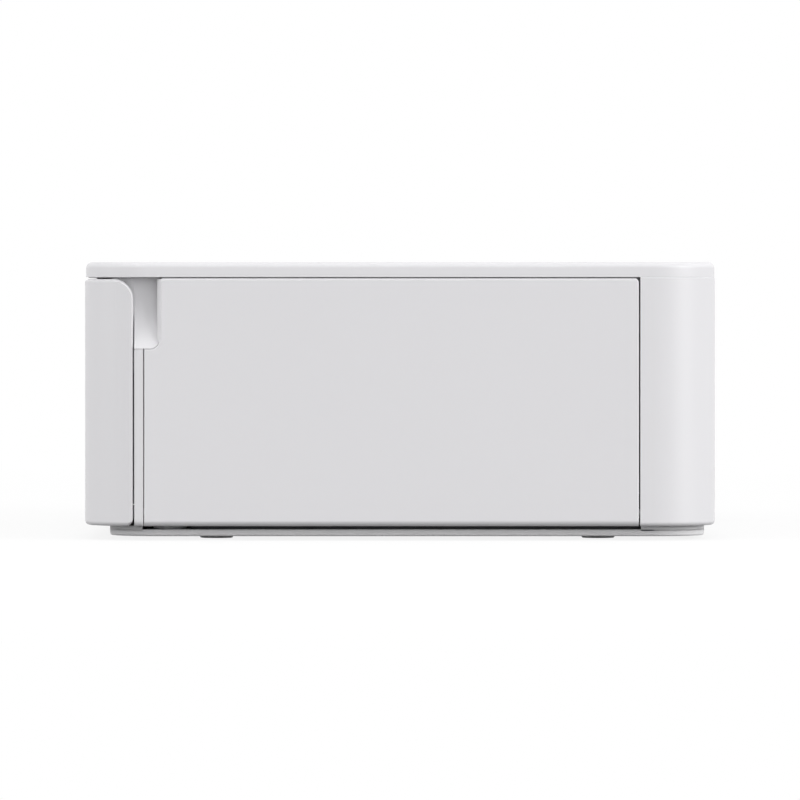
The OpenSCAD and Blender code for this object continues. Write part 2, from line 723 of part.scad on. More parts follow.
module left_plate() color(steel_color) {
    across(plate_x0) linear_extrude(plate_t) difference() {
        translate([plate_y[0], z_tray]) square([plate_y[1] - plate_y[0], plate_top - z_tray]);
        shaft_bores();
        for (p = [supply, takeup]) translate(p) circle(hub_r + run);
    }
    // Axles of the idlers, spring shelf and foot flange
    for (p = [feed_idler_at, pickup_idler_at]) shaft(p, gear_x - 0.4, plate_x0 + 0.5, small_shaft_r);
    box([plate_x0 - 3.4, head_y - 2, spring_z - shelf_t], [plate_x0 + 0.5, head_y + 2, spring_z]);
    for (y = [-40, 40]) box([mech_x0 - 0.5, y - 5, z_tray], [mech_x0 + 1, y + 5, z_tray + plate_t]);
}

module right_plate() color(steel_color) {
    across(mech_x1) linear_extrude(plate_t) difference() {
        translate([plate_y[0] + plate_step, z_tray]) square([plate_y[1] - plate_y[0] - plate_step, plate_top - z_tray]);
        shaft_bores();
        cassette_profile(0.5);
    }
    box([plate_x1 - 0.5, head_y - 2, spring_z - shelf_t], [plate_x1 + 3, head_y + 2, spring_z]);
    for (y = [-36, 40]) box([plate_x1 - 0.5, y - 4, z_tray], [plate_x1 + 2, y + 4, z_tray + plate_t]);
}

module platen_roller() color(dark_color) across(paper_x0) translate(platen) difference() {
    cylinder(h = paper_x1 - paper_x0, r = platen_r);
    translate([0, 0, -1]) cylinder(h = paper_x1 - paper_x0 + 2, r = shaft_r);
}

module platen_shaft() color(steel_color) shaft(platen, plate_x0 - 1, plate_x1 + 1, shaft_r);

module capstan_roller() color(steel_color) {
    shaft(capstan, gear_x, plate_x1 + 1, capstan_r - 0.5);
    shaft(capstan, mech_x0 + 0.5, mech_x1 - 0.5, capstan_r);
}

module pinch_roller() color(dark_color) {
    shaft(pinch, plate_x0 - 1, plate_x1 + 1, small_shaft_r);
    shaft(pinch, paper_x0 - 2, paper_x1 + 2, pinch_r);
}

module pickup_roller() color(dark_color) for (x = [6, 26]) across(x) translate(pickup) linear_extrude(8) difference() {
    circle(pickup_r);
    circle(shaft_r);
    translate([-pickup_r, 4]) square(2 * pickup_r);
}

module pickup_shaft() color(steel_color) shaft(pickup, gear_x, plate_x1 + 1, shaft_r);

module thermal_head() color("beige") {
    box([paper_x0, head_y - 6, head_z + 0.3], [paper_x1, head_y + 6, sink_z]);
    intersection() {
        shaft([head_y, head_z + 1.2], paper_x0, paper_x1, 1.2);
        box([paper_x0, head_y - 2, head_z], [paper_x1, head_y + 2, head_z + 1]);
    }
}

module heat_sink() color("lightgray") difference() {
    box([paper_x0 + 2, head_y - 12, sink_z], [paper_x1 - 2, head_y + 12, carriage_z]);
    for (i = [0 : 23]) box([paper_x0 + 5 + 4 * i, head_y - 13, sink_z + 2.6],
                           [paper_x0 + 7.6 + 4 * i, head_y + 13, carriage_z - 1.2]);
}

module head_carriage() color(steel_color) {
    x0 = mech_x0 + 4;
    x1 = mech_x1 - 4;
    box([x0, head_y - 10, carriage_z], [x1, head_y + 10, carriage_z + carriage_t]);
    for (x = [x0, x1 - 1.5]) box([x, head_y - 8, sink_z + 2], [x + 1.5, head_y + 8, carriage_z + 0.5]);
    box([spring_x[0] - 1.4, head_y - tab_w / 2, tab_z], [x0 + 1, head_y + tab_w / 2, tab_z + tab_t]);
    box([x1 - 1, head_y - tab_w / 2, tab_z], [spring_x[1] + 1.4, head_y + tab_w / 2, tab_z + tab_t]);
    for (x = [x0 + 1.5, x1 - 5.5]) box([x, head_y - 3, carriage_z], [x + 4, head_y + 3, carriage_z + carriage_t + pad_h]);
}

module head_springs() color(steel_color)
    for (x = spring_x) translate([x, head_y, spring_z + 0.05]) coil(1.1, 0.2, tab_z - spring_z - 0.1, 5);

// Cam radius at an angle counted from the low point, against the turn
function cam_radius(u) =
    u < cam_turn ? cam_low + head_lift * u / cam_turn :
    u < cam_turn + 15 ? cam_low + head_lift :
    max(cam_low, cam_low + head_lift * (330 - u) / (315 - cam_turn));

module cam_shaft() color(steel_color) {
    shaft(cam, gear_x, plate_x1 + 1, small_shaft_r);
    for (x = [mech_x0 + 6, mech_x1 - 9]) across(x) translate(cam) linear_extrude(3)
        polygon([for (u = [0 : 5 : 355]) cam_radius(u) * [cos(-90 - u), sin(-90 - u)]]);
}

module cam_gear() color(gear_color) gear(cam, cam_n, 0, bore = small_shaft_r);
module capstan_gear() color(gear_color) gear(capstan, capstan_n, 0, bore = capstan_r - 0.5);
module pickup_gear() color(gear_color) gear(pickup, pickup_n, pickup_phase, bore = shaft_r);
module feed_idler() color(gear_color) gear(feed_idler_at, feed_idler_n, feed_idler_phase, bore = small_shaft_r + run);
module pickup_idler() color(gear_color)
    gear(pickup_idler_at, pickup_idler_n, pickup_idler_phase, bore = small_shaft_r + run);

module takeup_gear() color(gear_color) {
    gear(takeup, takeup_n, takeup_phase);
    shaft(takeup, gear_x + gear_t - 0.5, plate_x0 - 0.1, hub_r + 1);
    shaft(takeup, gear_x + gear_t, mech_x0 + 0.3, hub_r);
    shaft(takeup, mech_x0, case_x0 + 3, nose_r);
}

module supply_hub() color(gear_color) {
    shaft(supply, plate_x0 - 2, plate_x0 - 0.1, hub_r + 2);
    shaft(supply, plate_x0 - 1, mech_x0 + 0.3, hub_r);
    shaft(supply, mech_x0, case_x0 + 3, nose_r);
}

module motor_plate() color(steel_color) {
    across(motor_plate_x) linear_extrude(plate_t) difference() {
        translate([motor_plate_y[0], board_top + 0.4])
            square([motor_plate_y[1] - motor_plate_y[0], plate_top - board_top - 0.4]);
        for (p = [feed_pinion_at, head_pinion_at]) translate(p) circle(motor_shaft_r + 0.8);
    }
    for (p = motor_posts) shaft(p, motor_plate_x + 0.5, plate_x0, motor_post_r);
}

module motor(at, r, l) difference() {
    shaft(at, motor_plate_x - l, motor_plate_x, r);
    shaft(at, motor_plate_x - 4, motor_plate_x + 1, motor_shaft_r + run);
}

module feed_motor() color(steel_color) motor(feed_pinion_at, feed_motor_r, 16);
module head_motor() color(steel_color) motor(head_pinion_at, head_motor_r, 18);

module feed_pinion() color("gold") {
    gear(feed_pinion_at, feed_pinion_n, feed_pinion_phase);
    shaft(feed_pinion_at, motor_plate_x - 3.8, gear_x + 0.5, motor_shaft_r);
}

module head_pinion() color("gold") {
    gear(head_pinion_at, head_pinion_n, head_pinion_phase);
    shaft(head_pinion_at, motor_plate_x - 3.8, gear_x + 0.5, motor_shaft_r);
}

// ---- Ink cassette ----

module ink_cassette_case() color("slategray") difference() {
    union() {
        for (p = [supply, takeup]) shaft(p, case_x0, case_x1, tube_r);
        for (x = [case_x0, case_x1 - 3]) across(x) linear_extrude(3) bar_plan();
        across(case_x1 - 0.5) linear_extrude(cap_x - case_x1 + 0.5) {
            for (p = [supply, takeup]) translate(p) circle(cap_r);
            bar_plan();
        }
    }
    for (p = [supply, takeup]) {
        shaft(p, case_x0 + 1.5, case_x1 - 1.5, tube_r - tube_wall);
        shaft(p, case_x0 - 1, case_x1 - 0.3, spool_core + run);
    }
    // Slots that let the film out
    across(case_x0 + 4) linear_extrude(case_x1 - case_x0 - 8) {
        translate(supply) rotate(-slot_turn) translate([tube_r - 2, -1.5]) square([3, 3]);
        translate(takeup) rotate(-180 + slot_turn) translate([tube_r - 2, -1.5]) square([3, 3]);
    }
}

// Low bridge that joins the two tubes at their ends
module bar_plan() {
    translate([bar_y[0], bar_z]) square([bar_y[1] - bar_y[0], bar_t]);
    for (y = [bar_y[0], bar_y[1] - 3]) translate([y, bar_z]) square([3, supply[1] - tube_r + 2 - bar_z]);
}

module spool(at, pack_r) difference() {
    union() {
        shaft(at, case_x0 + 0.2, case_x1 - 0.5, spool_core);
        shaft(at, case_x0 + 5, case_x1 - 5, pack_r);
    }
    shaft(at, case_x0, case_x0 + 4, nose_r + 0.2);
}

module supply_spool() color("darkslateblue") spool(supply, supply_r);
module takeup_spool() color("darkslateblue") spool(takeup, takeup_r);

module ink_film() color("darkorchid") {
    film_t = 0.16;
    low = paper_z + 0.2;
    path = [
        toward(supply, -slot_turn - 2, tube_r - tube_wall - 0.4), [head_y - 12, low], [head_y + 12, low],
        toward(takeup, -178 + slot_turn, tube_r - tube_wall - 0.4),
        toward(takeup, -110, takeup_r + 0.2 + film_t)
    ];
    last = len(path) - 1;
    across(case_x0 + 5) linear_extrude(case_x1 - case_x0 - 10)
        polygon(concat(path, [for (i = [last : -1 : 0]) path[i] + [0, film_t]]));
}

module cassette_latch() color("lightsteelblue") difference() {
    union() {
        translate([latch[0], latch[1], latch_z[0]]) cylinder(h = latch_z[1] - latch_z[0], r = 1.6);
        box([latch[0], latch[1] - 1.3, latch_z[0]], [hook_x + 1, latch[1] + 0.7, latch_z[1]]);
        box([hook_x, latch[1] - 1.3, latch_z[0] + 2.2], [hook_x + 1, supply[0] - cap_r + 0.7, latch_z[1] - 2.2]);
    }
    translate([latch[0], latch[1], latch_z[0] - 1]) cylinder(h = 12, r = 1 + run);
}

module latch_pin() color(steel_color) translate([latch[0], latch[1], latch_z[0] - latch_lug])
    cylinder(h = latch_z[1] - latch_z[0] + 2 * latch_lug, r = 1);

// ---- Electronics ----

module main_board() color(board_color) {
    box([board_x[0], column_front + column_r + 0.5, board_z], [board_x[1], column_rear - column_r - 2, board_top]);
    box([-column_x + column_r + 1, column_rear - column_r - 3, board_z], [board_x[1], hd - wall - 2, board_top]);
}

module board_parts() color("black") {
    x0 = board_x[0];
    x1 = board_x[1];
    box([x0 + 16, 18, board_top], [x1 - 4, 32, board_top + chip_h]);
    box([x0 + 4, 14, board_top], [x0 + 12, 26, board_top + chip_h - 0.2]);
    box([x0 + 2, -20, board_top], [x0 + 8, 4, board_top + 5]);
    box([x0 + 12, 34, board_top], [x1 - 6, 38, board_top + 5.4]);
    for (y = [34, 43]) translate([x0 + 5, y, board_top]) cylinder(h = 11, r = 3.5);
}

module dc_inlet() color("black") {
    y0 = hd - 14.5;
    difference() {
        box([inlet_x - 4.5, y0, board_top], [inlet_x + 4.5, hd - 0.5, board_top + 11]);
        translate([inlet_x, hd - 10, board_top + 6.2]) rotate([-90, 0, 0]) cylinder(h = 12, r = 2.8);
    }
    translate([inlet_x, hd - 10.5, board_top + 6.2]) rotate([-90, 0, 0]) cylinder(h = 9, r = 0.85);
}

module usb_socket() color(steel_color) difference() {
    y0 = hd - 8.5;
    box([usb_x - 4.5, y0, board_top], [usb_x + 4.5, hd - 0.5, board_top + 3.2]);
    box([usb_x - 4.1, y0 + 1, board_top + 0.4], [usb_x + 4.1, hd, board_top + 2.8]);
}

module card_socket() color(steel_color) difference() {
    box([card_x - card_w / 2, y_jamb_in + 0.1, board_top], [card_x + card_w / 2, y_jamb_in + card_l, board_top + 3.2]);
    box([card_x - card_w / 2 + 0.6, y_jamb_in - 1, board_top + 0.4],
        [card_x + card_w / 2 - 0.6, y_jamb_in + card_l - 2, board_top + 2.7]);
}

module fan_frame() color(dark_color) translate([fan_at[0], 0, fan_at[1]]) {
    h = fan_size / 2;
    difference() {
        box([-h, fan_y, -h], [h, fan_y + fan_t, h]);
        translate([0, fan_y - 1, 0]) rotate([-90, 0, 0]) cylinder(h = fan_t + 2, r = h - 1);
    }
    translate([0, fan_y + fan_t - 1.2, 0]) rotate([-90, 0, 0]) cylinder(h = 1.2, r = 5);
    translate([0, fan_y + 0.8, 0]) rotate([-90, 0, 0]) cylinder(h = fan_t - 1, r = 1);
    for (a = [45 : 90 : 315]) rotate([0, a, 0]) box([4, fan_y + fan_t - 1.2, -0.7], [h - 0.8, fan_y + fan_t, 0.7]);
    // Pegs to the rear wall
    for (x = [-h + 2, h - 2], z = [-h + 2, h - 2]) translate([x, fan_y + fan_t - 0.5, z])
        rotate([-90, 0, 0]) cylinder(h = 0.7, r = 1.4);
}

module fan_rotor() color(dark_color) translate([fan_at[0], fan_y, fan_at[1]]) difference() {
    union() {
        translate([0, 0.6, 0]) rotate([-90, 0, 0]) cylinder(h = fan_t - 2.2, r = 4.6);
        for (i = [0 : 6]) rotate([0, i * 360 / 7, 0]) translate([4, fan_t / 2 - 0.5, 0]) rotate([35, 0, 0])
            translate([0, -3, -0.4]) cube([fan_size / 2 - 6, 6, 0.8]);
    }
    translate([0, -1, 0]) rotate([-90, 0, 0]) cylinder(h = fan_t + 2, r = 1 + run);
}

base_pan();
rubber_feet();
main_shell();
top_plate();
front_cover();
ink_door();
side_bezel();
display_window();
display_panel();
key_board();
power_key();
print_key();
home_key();
back_key();
plus_key();
minus_key();
ok_key();
nav_ring();
chassis_tray();
left_plate();
right_plate();
platen_roller();
platen_shaft();
capstan_roller();
pinch_roller();
pickup_roller();
pickup_shaft();
head_carriage();
heat_sink();
thermal_head();
head_springs();
cam_shaft();
cam_gear();
head_motor();
head_pinion();
motor_plate();
feed_motor();
feed_pinion();
feed_idler();
capstan_gear();
takeup_gear();
supply_hub();
pickup_idler();
pickup_gear();
ink_cassette_case();
supply_spool();
takeup_spool();
ink_film();
cassette_latch();
latch_pin();
main_board();
board_parts();
dc_inlet();
usb_socket();
card_socket();
fan_frame();
fan_rotor();
case_screws();
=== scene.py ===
import math

import bpy
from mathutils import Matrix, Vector


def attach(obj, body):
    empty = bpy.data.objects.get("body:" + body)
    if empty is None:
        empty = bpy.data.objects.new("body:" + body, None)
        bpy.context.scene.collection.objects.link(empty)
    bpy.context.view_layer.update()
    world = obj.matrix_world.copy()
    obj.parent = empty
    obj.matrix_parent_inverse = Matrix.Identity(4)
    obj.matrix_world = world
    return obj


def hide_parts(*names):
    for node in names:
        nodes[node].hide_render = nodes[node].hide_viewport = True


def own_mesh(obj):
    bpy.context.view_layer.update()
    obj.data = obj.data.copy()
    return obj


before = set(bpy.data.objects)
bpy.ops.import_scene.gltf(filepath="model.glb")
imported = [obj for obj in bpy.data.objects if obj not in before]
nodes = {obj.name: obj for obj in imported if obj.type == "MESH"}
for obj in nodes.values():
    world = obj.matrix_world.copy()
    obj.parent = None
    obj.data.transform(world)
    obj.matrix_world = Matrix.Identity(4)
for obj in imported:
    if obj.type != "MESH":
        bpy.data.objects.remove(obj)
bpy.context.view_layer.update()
tools = bpy.context.tool_settings
mm = 0.001
print("frame loaded:", len(nodes), "nodes")


# Modelling helpers; every length is in millimetres
def nothingPicked():
    if bpy.context.object and bpy.context.object.mode != "OBJECT":
        bpy.ops.object.mode_set(mode="OBJECT")
    bpy.ops.object.select_all(action="DESELECT")


def workOn(piece):
    nothingPicked()
    bpy.context.view_layer.objects.active = piece
    piece.select_set(True)


def named(name):
    piece = bpy.context.object
    piece.name = piece.data.name = name
    bpy.ops.object.transform_apply(location=True, rotation=True, scale=True)
    return piece


def block(name, low, high):
    low, high = Vector(low) * mm, Vector(high) * mm
    nothingPicked()
    bpy.ops.mesh.primitive_cube_add(size=1, location=(low + high) / 2, scale=high - low)
    return named(name)


def drum(name, centre, radius, length, axis="Z", sides=48):
    turns = {"X": (0, math.pi / 2, 0), "Y": (-math.pi / 2, 0, 0), "Z": (0, 0, 0)}
    nothingPicked()
    bpy.ops.mesh.primitive_cylinder_add(
        vertices=sides, radius=radius * mm, depth=length * mm, location=Vector(centre) * mm,
        rotation=turns[axis])
    return named(name)


def pick(piece, kind, wanted):
    # Selects what passes the test in object mode, then opens the mesh for editing
    workOn(piece)
    mesh = piece.data
    tools.mesh_select_mode = (False, kind == "edges", kind == "faces")
    for group in (mesh.vertices, mesh.edges, mesh.polygons):
        group.foreach_set("select", [False] * len(group))
    if kind == "edges":
        for edge in mesh.edges:
            a, b = (mesh.vertices[i].co / mm for i in edge.vertices)
            edge.select = wanted(a, b)
    else:
        for face in mesh.polygons:
            face.select = wanted(face.center / mm, face.normal)
    bpy.ops.object.mode_set(mode="EDIT")


def closeMesh():
    bpy.ops.object.mode_set(mode="OBJECT")


def near(*pairs, slack=0.02):
    return all(abs(a - b) < slack for a, b in pairs)


def both(**at):
    # Test for an edge with both ends at the given coordinates
    return lambda a, b: near(*[(getattr(end, axis), value) for end in (a, b) for axis, value in at.items()])


def roundEdges(piece, wanted, radius, segments):
    pick(piece, "edges", wanted)
    bpy.ops.mesh.bevel(offset=radius * mm, offset_type="OFFSET", segments=segments, profile=0.5,
                       affect="EDGES")
    closeMesh()


def dropFaces(piece, wanted):
    pick(piece, "faces", wanted)
    bpy.ops.mesh.delete(type="FACE")
    closeMesh()


def slicePlane(piece, point, normal, keepBehind=True, fill=False):
    workOn(piece)
    bpy.ops.object.mode_set(mode="EDIT")
    bpy.ops.mesh.select_all(action="SELECT")
    bpy.ops.mesh.bisect(plane_co=Vector(point) * mm, plane_no=normal, use_fill=fill,
                        clear_outer=keepBehind)
    closeMesh()


def useModifier(piece, kind, **settings):
    workOn(piece)
    modifier = piece.modifiers.new(kind.title(), kind)
    for key, value in settings.items():
        setattr(modifier, key, value)
    bpy.ops.object.modifier_apply(modifier=modifier.name)


def cut(piece, *cutters):
    for cutter in cutters:
        useModifier(piece, "BOOLEAN", operation="DIFFERENCE", solver="EXACT", object=cutter)
        bpy.data.objects.remove(cutter)


def keepInside(piece, room):
    useModifier(piece, "BOOLEAN", operation="INTERSECT", solver="EXACT", object=room)
    bpy.data.objects.remove(room)


def roundPlan(piece, radius, segments):
    # Rounds the upright corners, as seen from above
    roundEdges(piece, lambda a, b: near((a.x, b.x), (a.y, b.y)), radius, segments)


def roundLevel(piece, level, radius, segments):
    # Rounds the edges that lie flat at one height
    roundEdges(piece, both(z=level), radius, segments)


def joined(name, *parts):
    nothingPicked()
    for part in parts:
        part.select_set(True)
    bpy.context.view_layer.objects.active = parts[0]
    bpy.ops.object.join()
    parts[0].name = parts[0].data.name = name
    return parts[0]


def soften(piece, width=0.2, segments=2, angle=35, smooth=50):
    # Small fillets on the edges that are still sharp, then even shading
    useModifier(piece, "BEVEL", width=width * mm, segments=segments, limit_method="ANGLE",
                angle_limit=math.radians(angle), use_clamp_overlap=True)
    workOn(piece)
    bpy.ops.object.shade_smooth_by_angle(angle=math.radians(smooth))
    useModifier(piece, "WEIGHTED_NORMAL", weight=90, keep_sharp=True)


def install(piece, body, slot, material, *replaced):
    piece.data.materials.clear()
    piece.data.materials.append(material)
    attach(piece, body)
    if replaced:
        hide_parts(*replaced)


class Maths:
    # Wraps a socket so that plain arithmetic adds Math nodes
    def __init__(self, look, socket):
        self.step, self.socket = look.step, socket

    def __add__(self, other):
        return self.step("ADD", self, other)

    def __sub__(self, other):
        return self.step("SUBTRACT", self, other)

    def __rsub__(self, other):
        return self.step("SUBTRACT", other, self)

    def __mul__(self, other):
        return self.step("MULTIPLY", self, other)

    def __lt__(self, other):
        return self.step("LESS_THAN", self, other)

    def __gt__(self, other):
        return self.step("GREATER_THAN", self, other)

    def __mod__(self, other):
        return self.step("FLOORED_MODULO", self, other)

    def __rmod__(self, other):
        return self.step("FLOORED_MODULO", other, self)

    def __abs__(self):
        return self.step("ABSOLUTE", self)

    __radd__ = __add__
    __rmul__ = __mul__


class NodeTree:
    # The nodes of one material or world; links and plain values are given alike
    def __init__(self, owner):
        owner.use_nodes = True
        self.tree = owner.node_tree

    def node(self, kind, inputs=None, output=0, **settings):
        made = self.tree.nodes.new("ShaderNode" + kind)
        for key, value in settings.items():
            if key == "ramp":
                ramp = made.color_ramp
                while len(ramp.elements) < len(value):
                    ramp.elements.new(0.5)
                for element, (position, shade) in zip(ramp.elements, value):
                    element.position, element.color = position, (*shade, 1)
            else:
                setattr(made, key, value)
        for key, value in (inputs or {}).items():
            if isinstance(value, Maths):
                self.tree.links.new(value.socket, made.inputs[key])
            else:
                made.inputs[key].default_value = value
        return None if output is None else Maths(self, made.outputs[output])

    def step(self, operation, *values):
        return self.node("Math", dict(enumerate(values)), operation=operation)

    def several(self, kind, wanted, inputs=None):
        outputs = self.node(kind, inputs).socket.node.outputs
        return [Maths(self, outputs[key]) for key in wanted]


class Finish(NodeTree):
    # One material: fixed values go straight on the shader, patterns come from nodes
    labels = {"color": "Base Color", "rough": "Roughness", "metal": "Metallic", "coat": "Coat Weight",
              "coatRough": "Coat Roughness"}

    def __init__(self, name, **fixed):
        self.material = bpy.data.materials.new(name)
        super().__init__(self.material)
        self.shader = next(n for n in self.tree.nodes if n.type == "BSDF_PRINCIPLED")
        for key, value in fixed.items():
            self.shader.inputs[self.labels[key]].default_value = (*value, 1) if key == "color" else value
        self.place = self.node("TexCoord", output="Object")

    def noise(self, scale, detail, rough, vector=None):
        return self.node("TexNoise", {
            "Vector": vector or self.place, "Scale": scale, "Detail": detail, "Roughness": rough})

    def streaks(self, scale, detail, rough, turn=(0, 0, 0)):
        # Noise drawn out along one direction
        place = self.node("Mapping", {"Vector": self.place, "Scale": scale, "Rotation": turn})
        return self.noise(1, detail, rough, place)

    def axes(self):
        return self.several("SeparateXYZ", "XYZ", {"Vector": self.place})

    def mixed(self, mask, first, second):
        # Sockets 0, 6 and 7 are the mask and the two colours
        first, second = (shade if isinstance(shade, Maths) else (*shade, 1) for shade in (first, second))
        return self.node("Mix", {0: mask, 6: first, 7: second}, 2, data_type="RGBA")

    def paint(self, mask, first, second):
        self.send("Base Color", self.mixed(mask, first, second))

    def roughen(self, value, toLow, toHigh, low=0.3, high=0.7):
        self.send("Roughness", self.clamped(value, low, high, toLow, toHigh))

    def clamped(self, value, low, high, toLow=0.0, toHigh=1.0):
        return self.node("MapRange", {
            "Value": value, "From Min": low, "From Max": high, "To Min": toLow, "To Max": toHigh})

    def send(self, label, value):
        self.tree.links.new(value.socket, self.shader.inputs[label])

    def bump(self, height, strength, depth):
        dents = self.node("Bump", {"Height": height, "Strength": strength, "Distance": depth * mm})
        self.send("Normal", dents)


def mouldedPlastic(name, color, rough, grain=2600, grainDepth=0.012, tint=0.03):
    # Spark-eroded moulding: fine grain, faint flow clouds, roughness that drifts a little
    finish = Finish(name, color=color, rough=rough)
    cloud = finish.noise(16, 3, 0.55)
    flow = finish.streaks((60, 9, 9), 2, 0.5)
    fine = finish.noise(grain, 1.5, 0.6)
    shade = finish.clamped(cloud * 0.6 + flow * 0.4, 0.35, 0.65)
    finish.paint(shade, [c * (1 - tint) for c in color], color)
    finish.roughen(cloud * 0.7 + fine * 0.3, rough - 0.05, rough + 0.06)
    finish.bump(fine, 0.35, grainDepth)
    return finish.material


def brushedMetal(name, color, direction=(12, 900, 900), rough=0.34):
    # Rolled sheet: long fine scratches and soft stains
    finish = Finish(name, color=color, rough=rough, metal=1.0)
    lines = finish.streaks(direction, 4, 0.65)
    stains = finish.noise(60, 3, 0.6)
    worn = finish.clamped(lines * 0.6 + stains * 0.4, 0.3, 0.7)
    finish.paint(worn, [c * 0.86 for c in color], color)
    finish.roughen(lines * 0.5 + stains * 0.5, rough - 0.08, rough + 0.1)
    finish.bump(lines, 0.15, 0.01)
    return finish.material


def softRubber(name, color, rough=0.78):
    # Ground rubber: dull, slightly pitted, with a dusty bloom
    finish = Finish(name, color=color, rough=rough)
    bloom = finish.noise(220, 3, 0.6)
    pits = finish.noise(3200, 1, 0.6)
    dusty = [c * 1.35 + 0.01 for c in color]
    finish.paint(finish.clamped(bloom, 0.35, 0.7), color, dusty)
    finish.roughen(bloom, rough - 0.06, rough + 0.08)
    finish.bump(pits, 0.4, 0.02)
    return finish.material


def circuitBoard(name):
    # Solder mask with copper runs under it and tinned pads
    mask, run, tin = (0.012, 0.12, 0.05), (0.03, 0.24, 0.1), (0.62, 0.62, 0.6)
    finish = Finish(name, color=mask, rough=0.35, coat=0.4)
    x, y, _ = finish.axes()
    jog = finish.noise(90, 0, 0.5)
    pitch, width, length, gap = 0.0016, 0.0006, 0.011, 0.002  # metres
    runs = (((x + jog * 0.004) % pitch) < width) * (((y + jog * 0.006) % length) > gap)
    cells = finish.node("TexVoronoi", {"Vector": finish.place, "Scale": 260.0})
    pads = cells < 0.16
    finish.paint(pads, finish.mixed(runs, mask, run), tin)
    finish.send("Metallic", pads * 0.8)
    finish.roughen(pads, 0.38, 0.25, 0, 1)
    finish.bump(runs * 0.5 + pads * 0.5, 0.3, 0.03)
    return finish.material


def turnedBrass(name):
    # Fine lathe rings and brown tarnish
    finish = Finish(name, color=(0.72, 0.5, 0.2), rough=0.28, metal=1.0)
    rings = finish.streaks((2600, 60, 60), 3, 0.6)
    tarnish = finish.noise(320, 3, 0.6)
    bright, brown = (0.74, 0.53, 0.22), (0.5, 0.33, 0.13)
    finish.paint(finish.clamped(tarnish, 0.35, 0.75), bright, brown)
    finish.roughen(rings, 0.2, 0.38)
    finish.bump(rings, 0.15, 0.01)
    return finish.material


def castFins(name):
    # Cast aluminium with drawn streaks and pale specks
    finish = Finish(name, color=(0.74, 0.75, 0.77), rough=0.36, metal=1.0)
    streaks = finish.streaks((30, 700, 700), 3, 0.6)
    speck = finish.noise(900, 2, 0.6)
    plain, pale = (0.72, 0.73, 0.75), (0.8, 0.81, 0.83)
    finish.paint(finish.clamped(speck, 0.4, 0.7), plain, pale)
    finish.roughen(streaks, 0.28, 0.48)
    finish.bump(streaks * 0.7 + speck * 0.3, 0.2, 0.015)
    return finish.material


def darkGlass(name, window):
    # Black-backed pane with a faintly lighter picture area and a few wipe marks
    finish = Finish(name, color=(0.006, 0.006, 0.008), rough=0.06, coat=0.6, coatRough=0.03)
    x, y, _ = finish.axes()
    cx, cy = window["centre"]
    across, along = window["picture"]
    inside = (abs(x - cx * mm) < across / 2 * mm) * (abs(y - cy * mm) < along / 2 * mm)
    wipes = finish.streaks((25, 160, 25), 3, 0.6, (0, 0, 0.4))
    border, picture = (0.004, 0.004, 0.005), (0.014, 0.015, 0.018)
    finish.paint(inside, border, picture)
    finish.roughen(wipes, 0.045, 0.11, 0.45, 0.75)
    return finish.material


def woundFilm(name):
    # Dye film: glossy, in bands of colour across its width and fine winding lines, with a painted highlight
    # of pale grey along the lines
    finish = Finish(name, color=(0.1, 0.06, 0.12), rough=0.22, coat=0.5, coatRough=0.1)
    _, y, z = finish.axes()
    dyes = [(0.0, (0.03, 0.02, 0.05)), (0.3, (0.1, 0.015, 0.05)),
            (0.6, (0.02, 0.05, 0.12)), (1.0, (0.09, 0.07, 0.02))]
    bands = finish.node("ValToRGB", {"Fac": (z * 24 + y * 9) % 1.0}, ramp=dyes)
    lines = finish.streaks((8, 1500, 1500), 2, 0.5)
    # Painted highlight: the colour turns pale grey along the winding lines
    paintedSheen = finish.clamped(lines, 0.4, 0.9, 0.0, 0.5)
    finish.paint(paintedSheen, bands, (0.16, 0.15, 0.17))
    finish.roughen(lines, 0.16, 0.3)
    finish.bump(lines, 0.1, 0.01)
    return finish.material


def glazedCeramic(name):
    # Pale glaze with a row of printed heater leads
    glaze, lead = (0.7, 0.66, 0.56), (0.45, 0.38, 0.22)
    finish = Finish(name, color=glaze, rough=0.3)
    speck = finish.noise(1500, 2, 0.6)
    x = finish.axes()[0]
    pitch, width = 0.0012, 0.0004  # metres
    printed = (x % pitch) < width
    finish.paint(printed * finish.clamped(speck, 0.2, 0.5), glaze, lead)
    finish.roughen(speck, 0.22, 0.4)
    finish.bump(speck, 0.1, 0.01)
    return finish.material


# Display pane: place and size of the glass, and of the picture behind it
window = {"centre": (-38, -6), "size": (84, 64), "corner": 1.4, "recess": 1.0, "thick": 0.95,
          "gap": 0.15, "edge": 0.22, "picture": (73, 49), "lightMargin": (6, 5)}
fineGrain = {"tint": 0.01, "grain": 3600, "grainDepth": 0.006}
whitePlastic = mouldedPlastic("whiteCase", (0.70, 0.694, 0.712), rough=0.4, tint=0.012)
# The pan is the case's white plastic. Its colour is set paler than the case's as painted light, making up
# for the light it misses under the case's overhang
brightenedPanPlastic = mouldedPlastic("brightenedPanPlastic", (0.8, 0.797, 0.808), rough=0.5, tint=0.02, grainDepth=0.02)
keyPlastic = mouldedPlastic("keyPlastic", (0.66, 0.66, 0.675), rough=0.3, **fineGrain)
ringPlastic = mouldedPlastic("ringPlastic", (0.6, 0.6, 0.615), rough=0.34, **fineGrain)
markInk = mouldedPlastic("markInk", (0.12, 0.12, 0.13), rough=0.5, tint=0.05)
darkPlastic = mouldedPlastic("darkPlastic", (0.03, 0.03, 0.033), rough=0.5, tint=0.12, grainDepth=0.02)
trayPlastic = mouldedPlastic("trayPlastic", (0.06, 0.061, 0.064), rough=0.55, tint=0.1, grainDepth=0.03)
cassettePlastic = mouldedPlastic("cassettePlastic", (0.1, 0.105, 0.118), rough=0.42, tint=0.08,
                                 grainDepth=0.02)
latchPlastic = mouldedPlastic("latchPlastic", (0.16, 0.3, 0.5), rough=0.35, tint=0.05)
gearPlastic = mouldedPlastic("gearPlastic", (0.72, 0.7, 0.62), rough=0.33, tint=0.03, grain=1800)
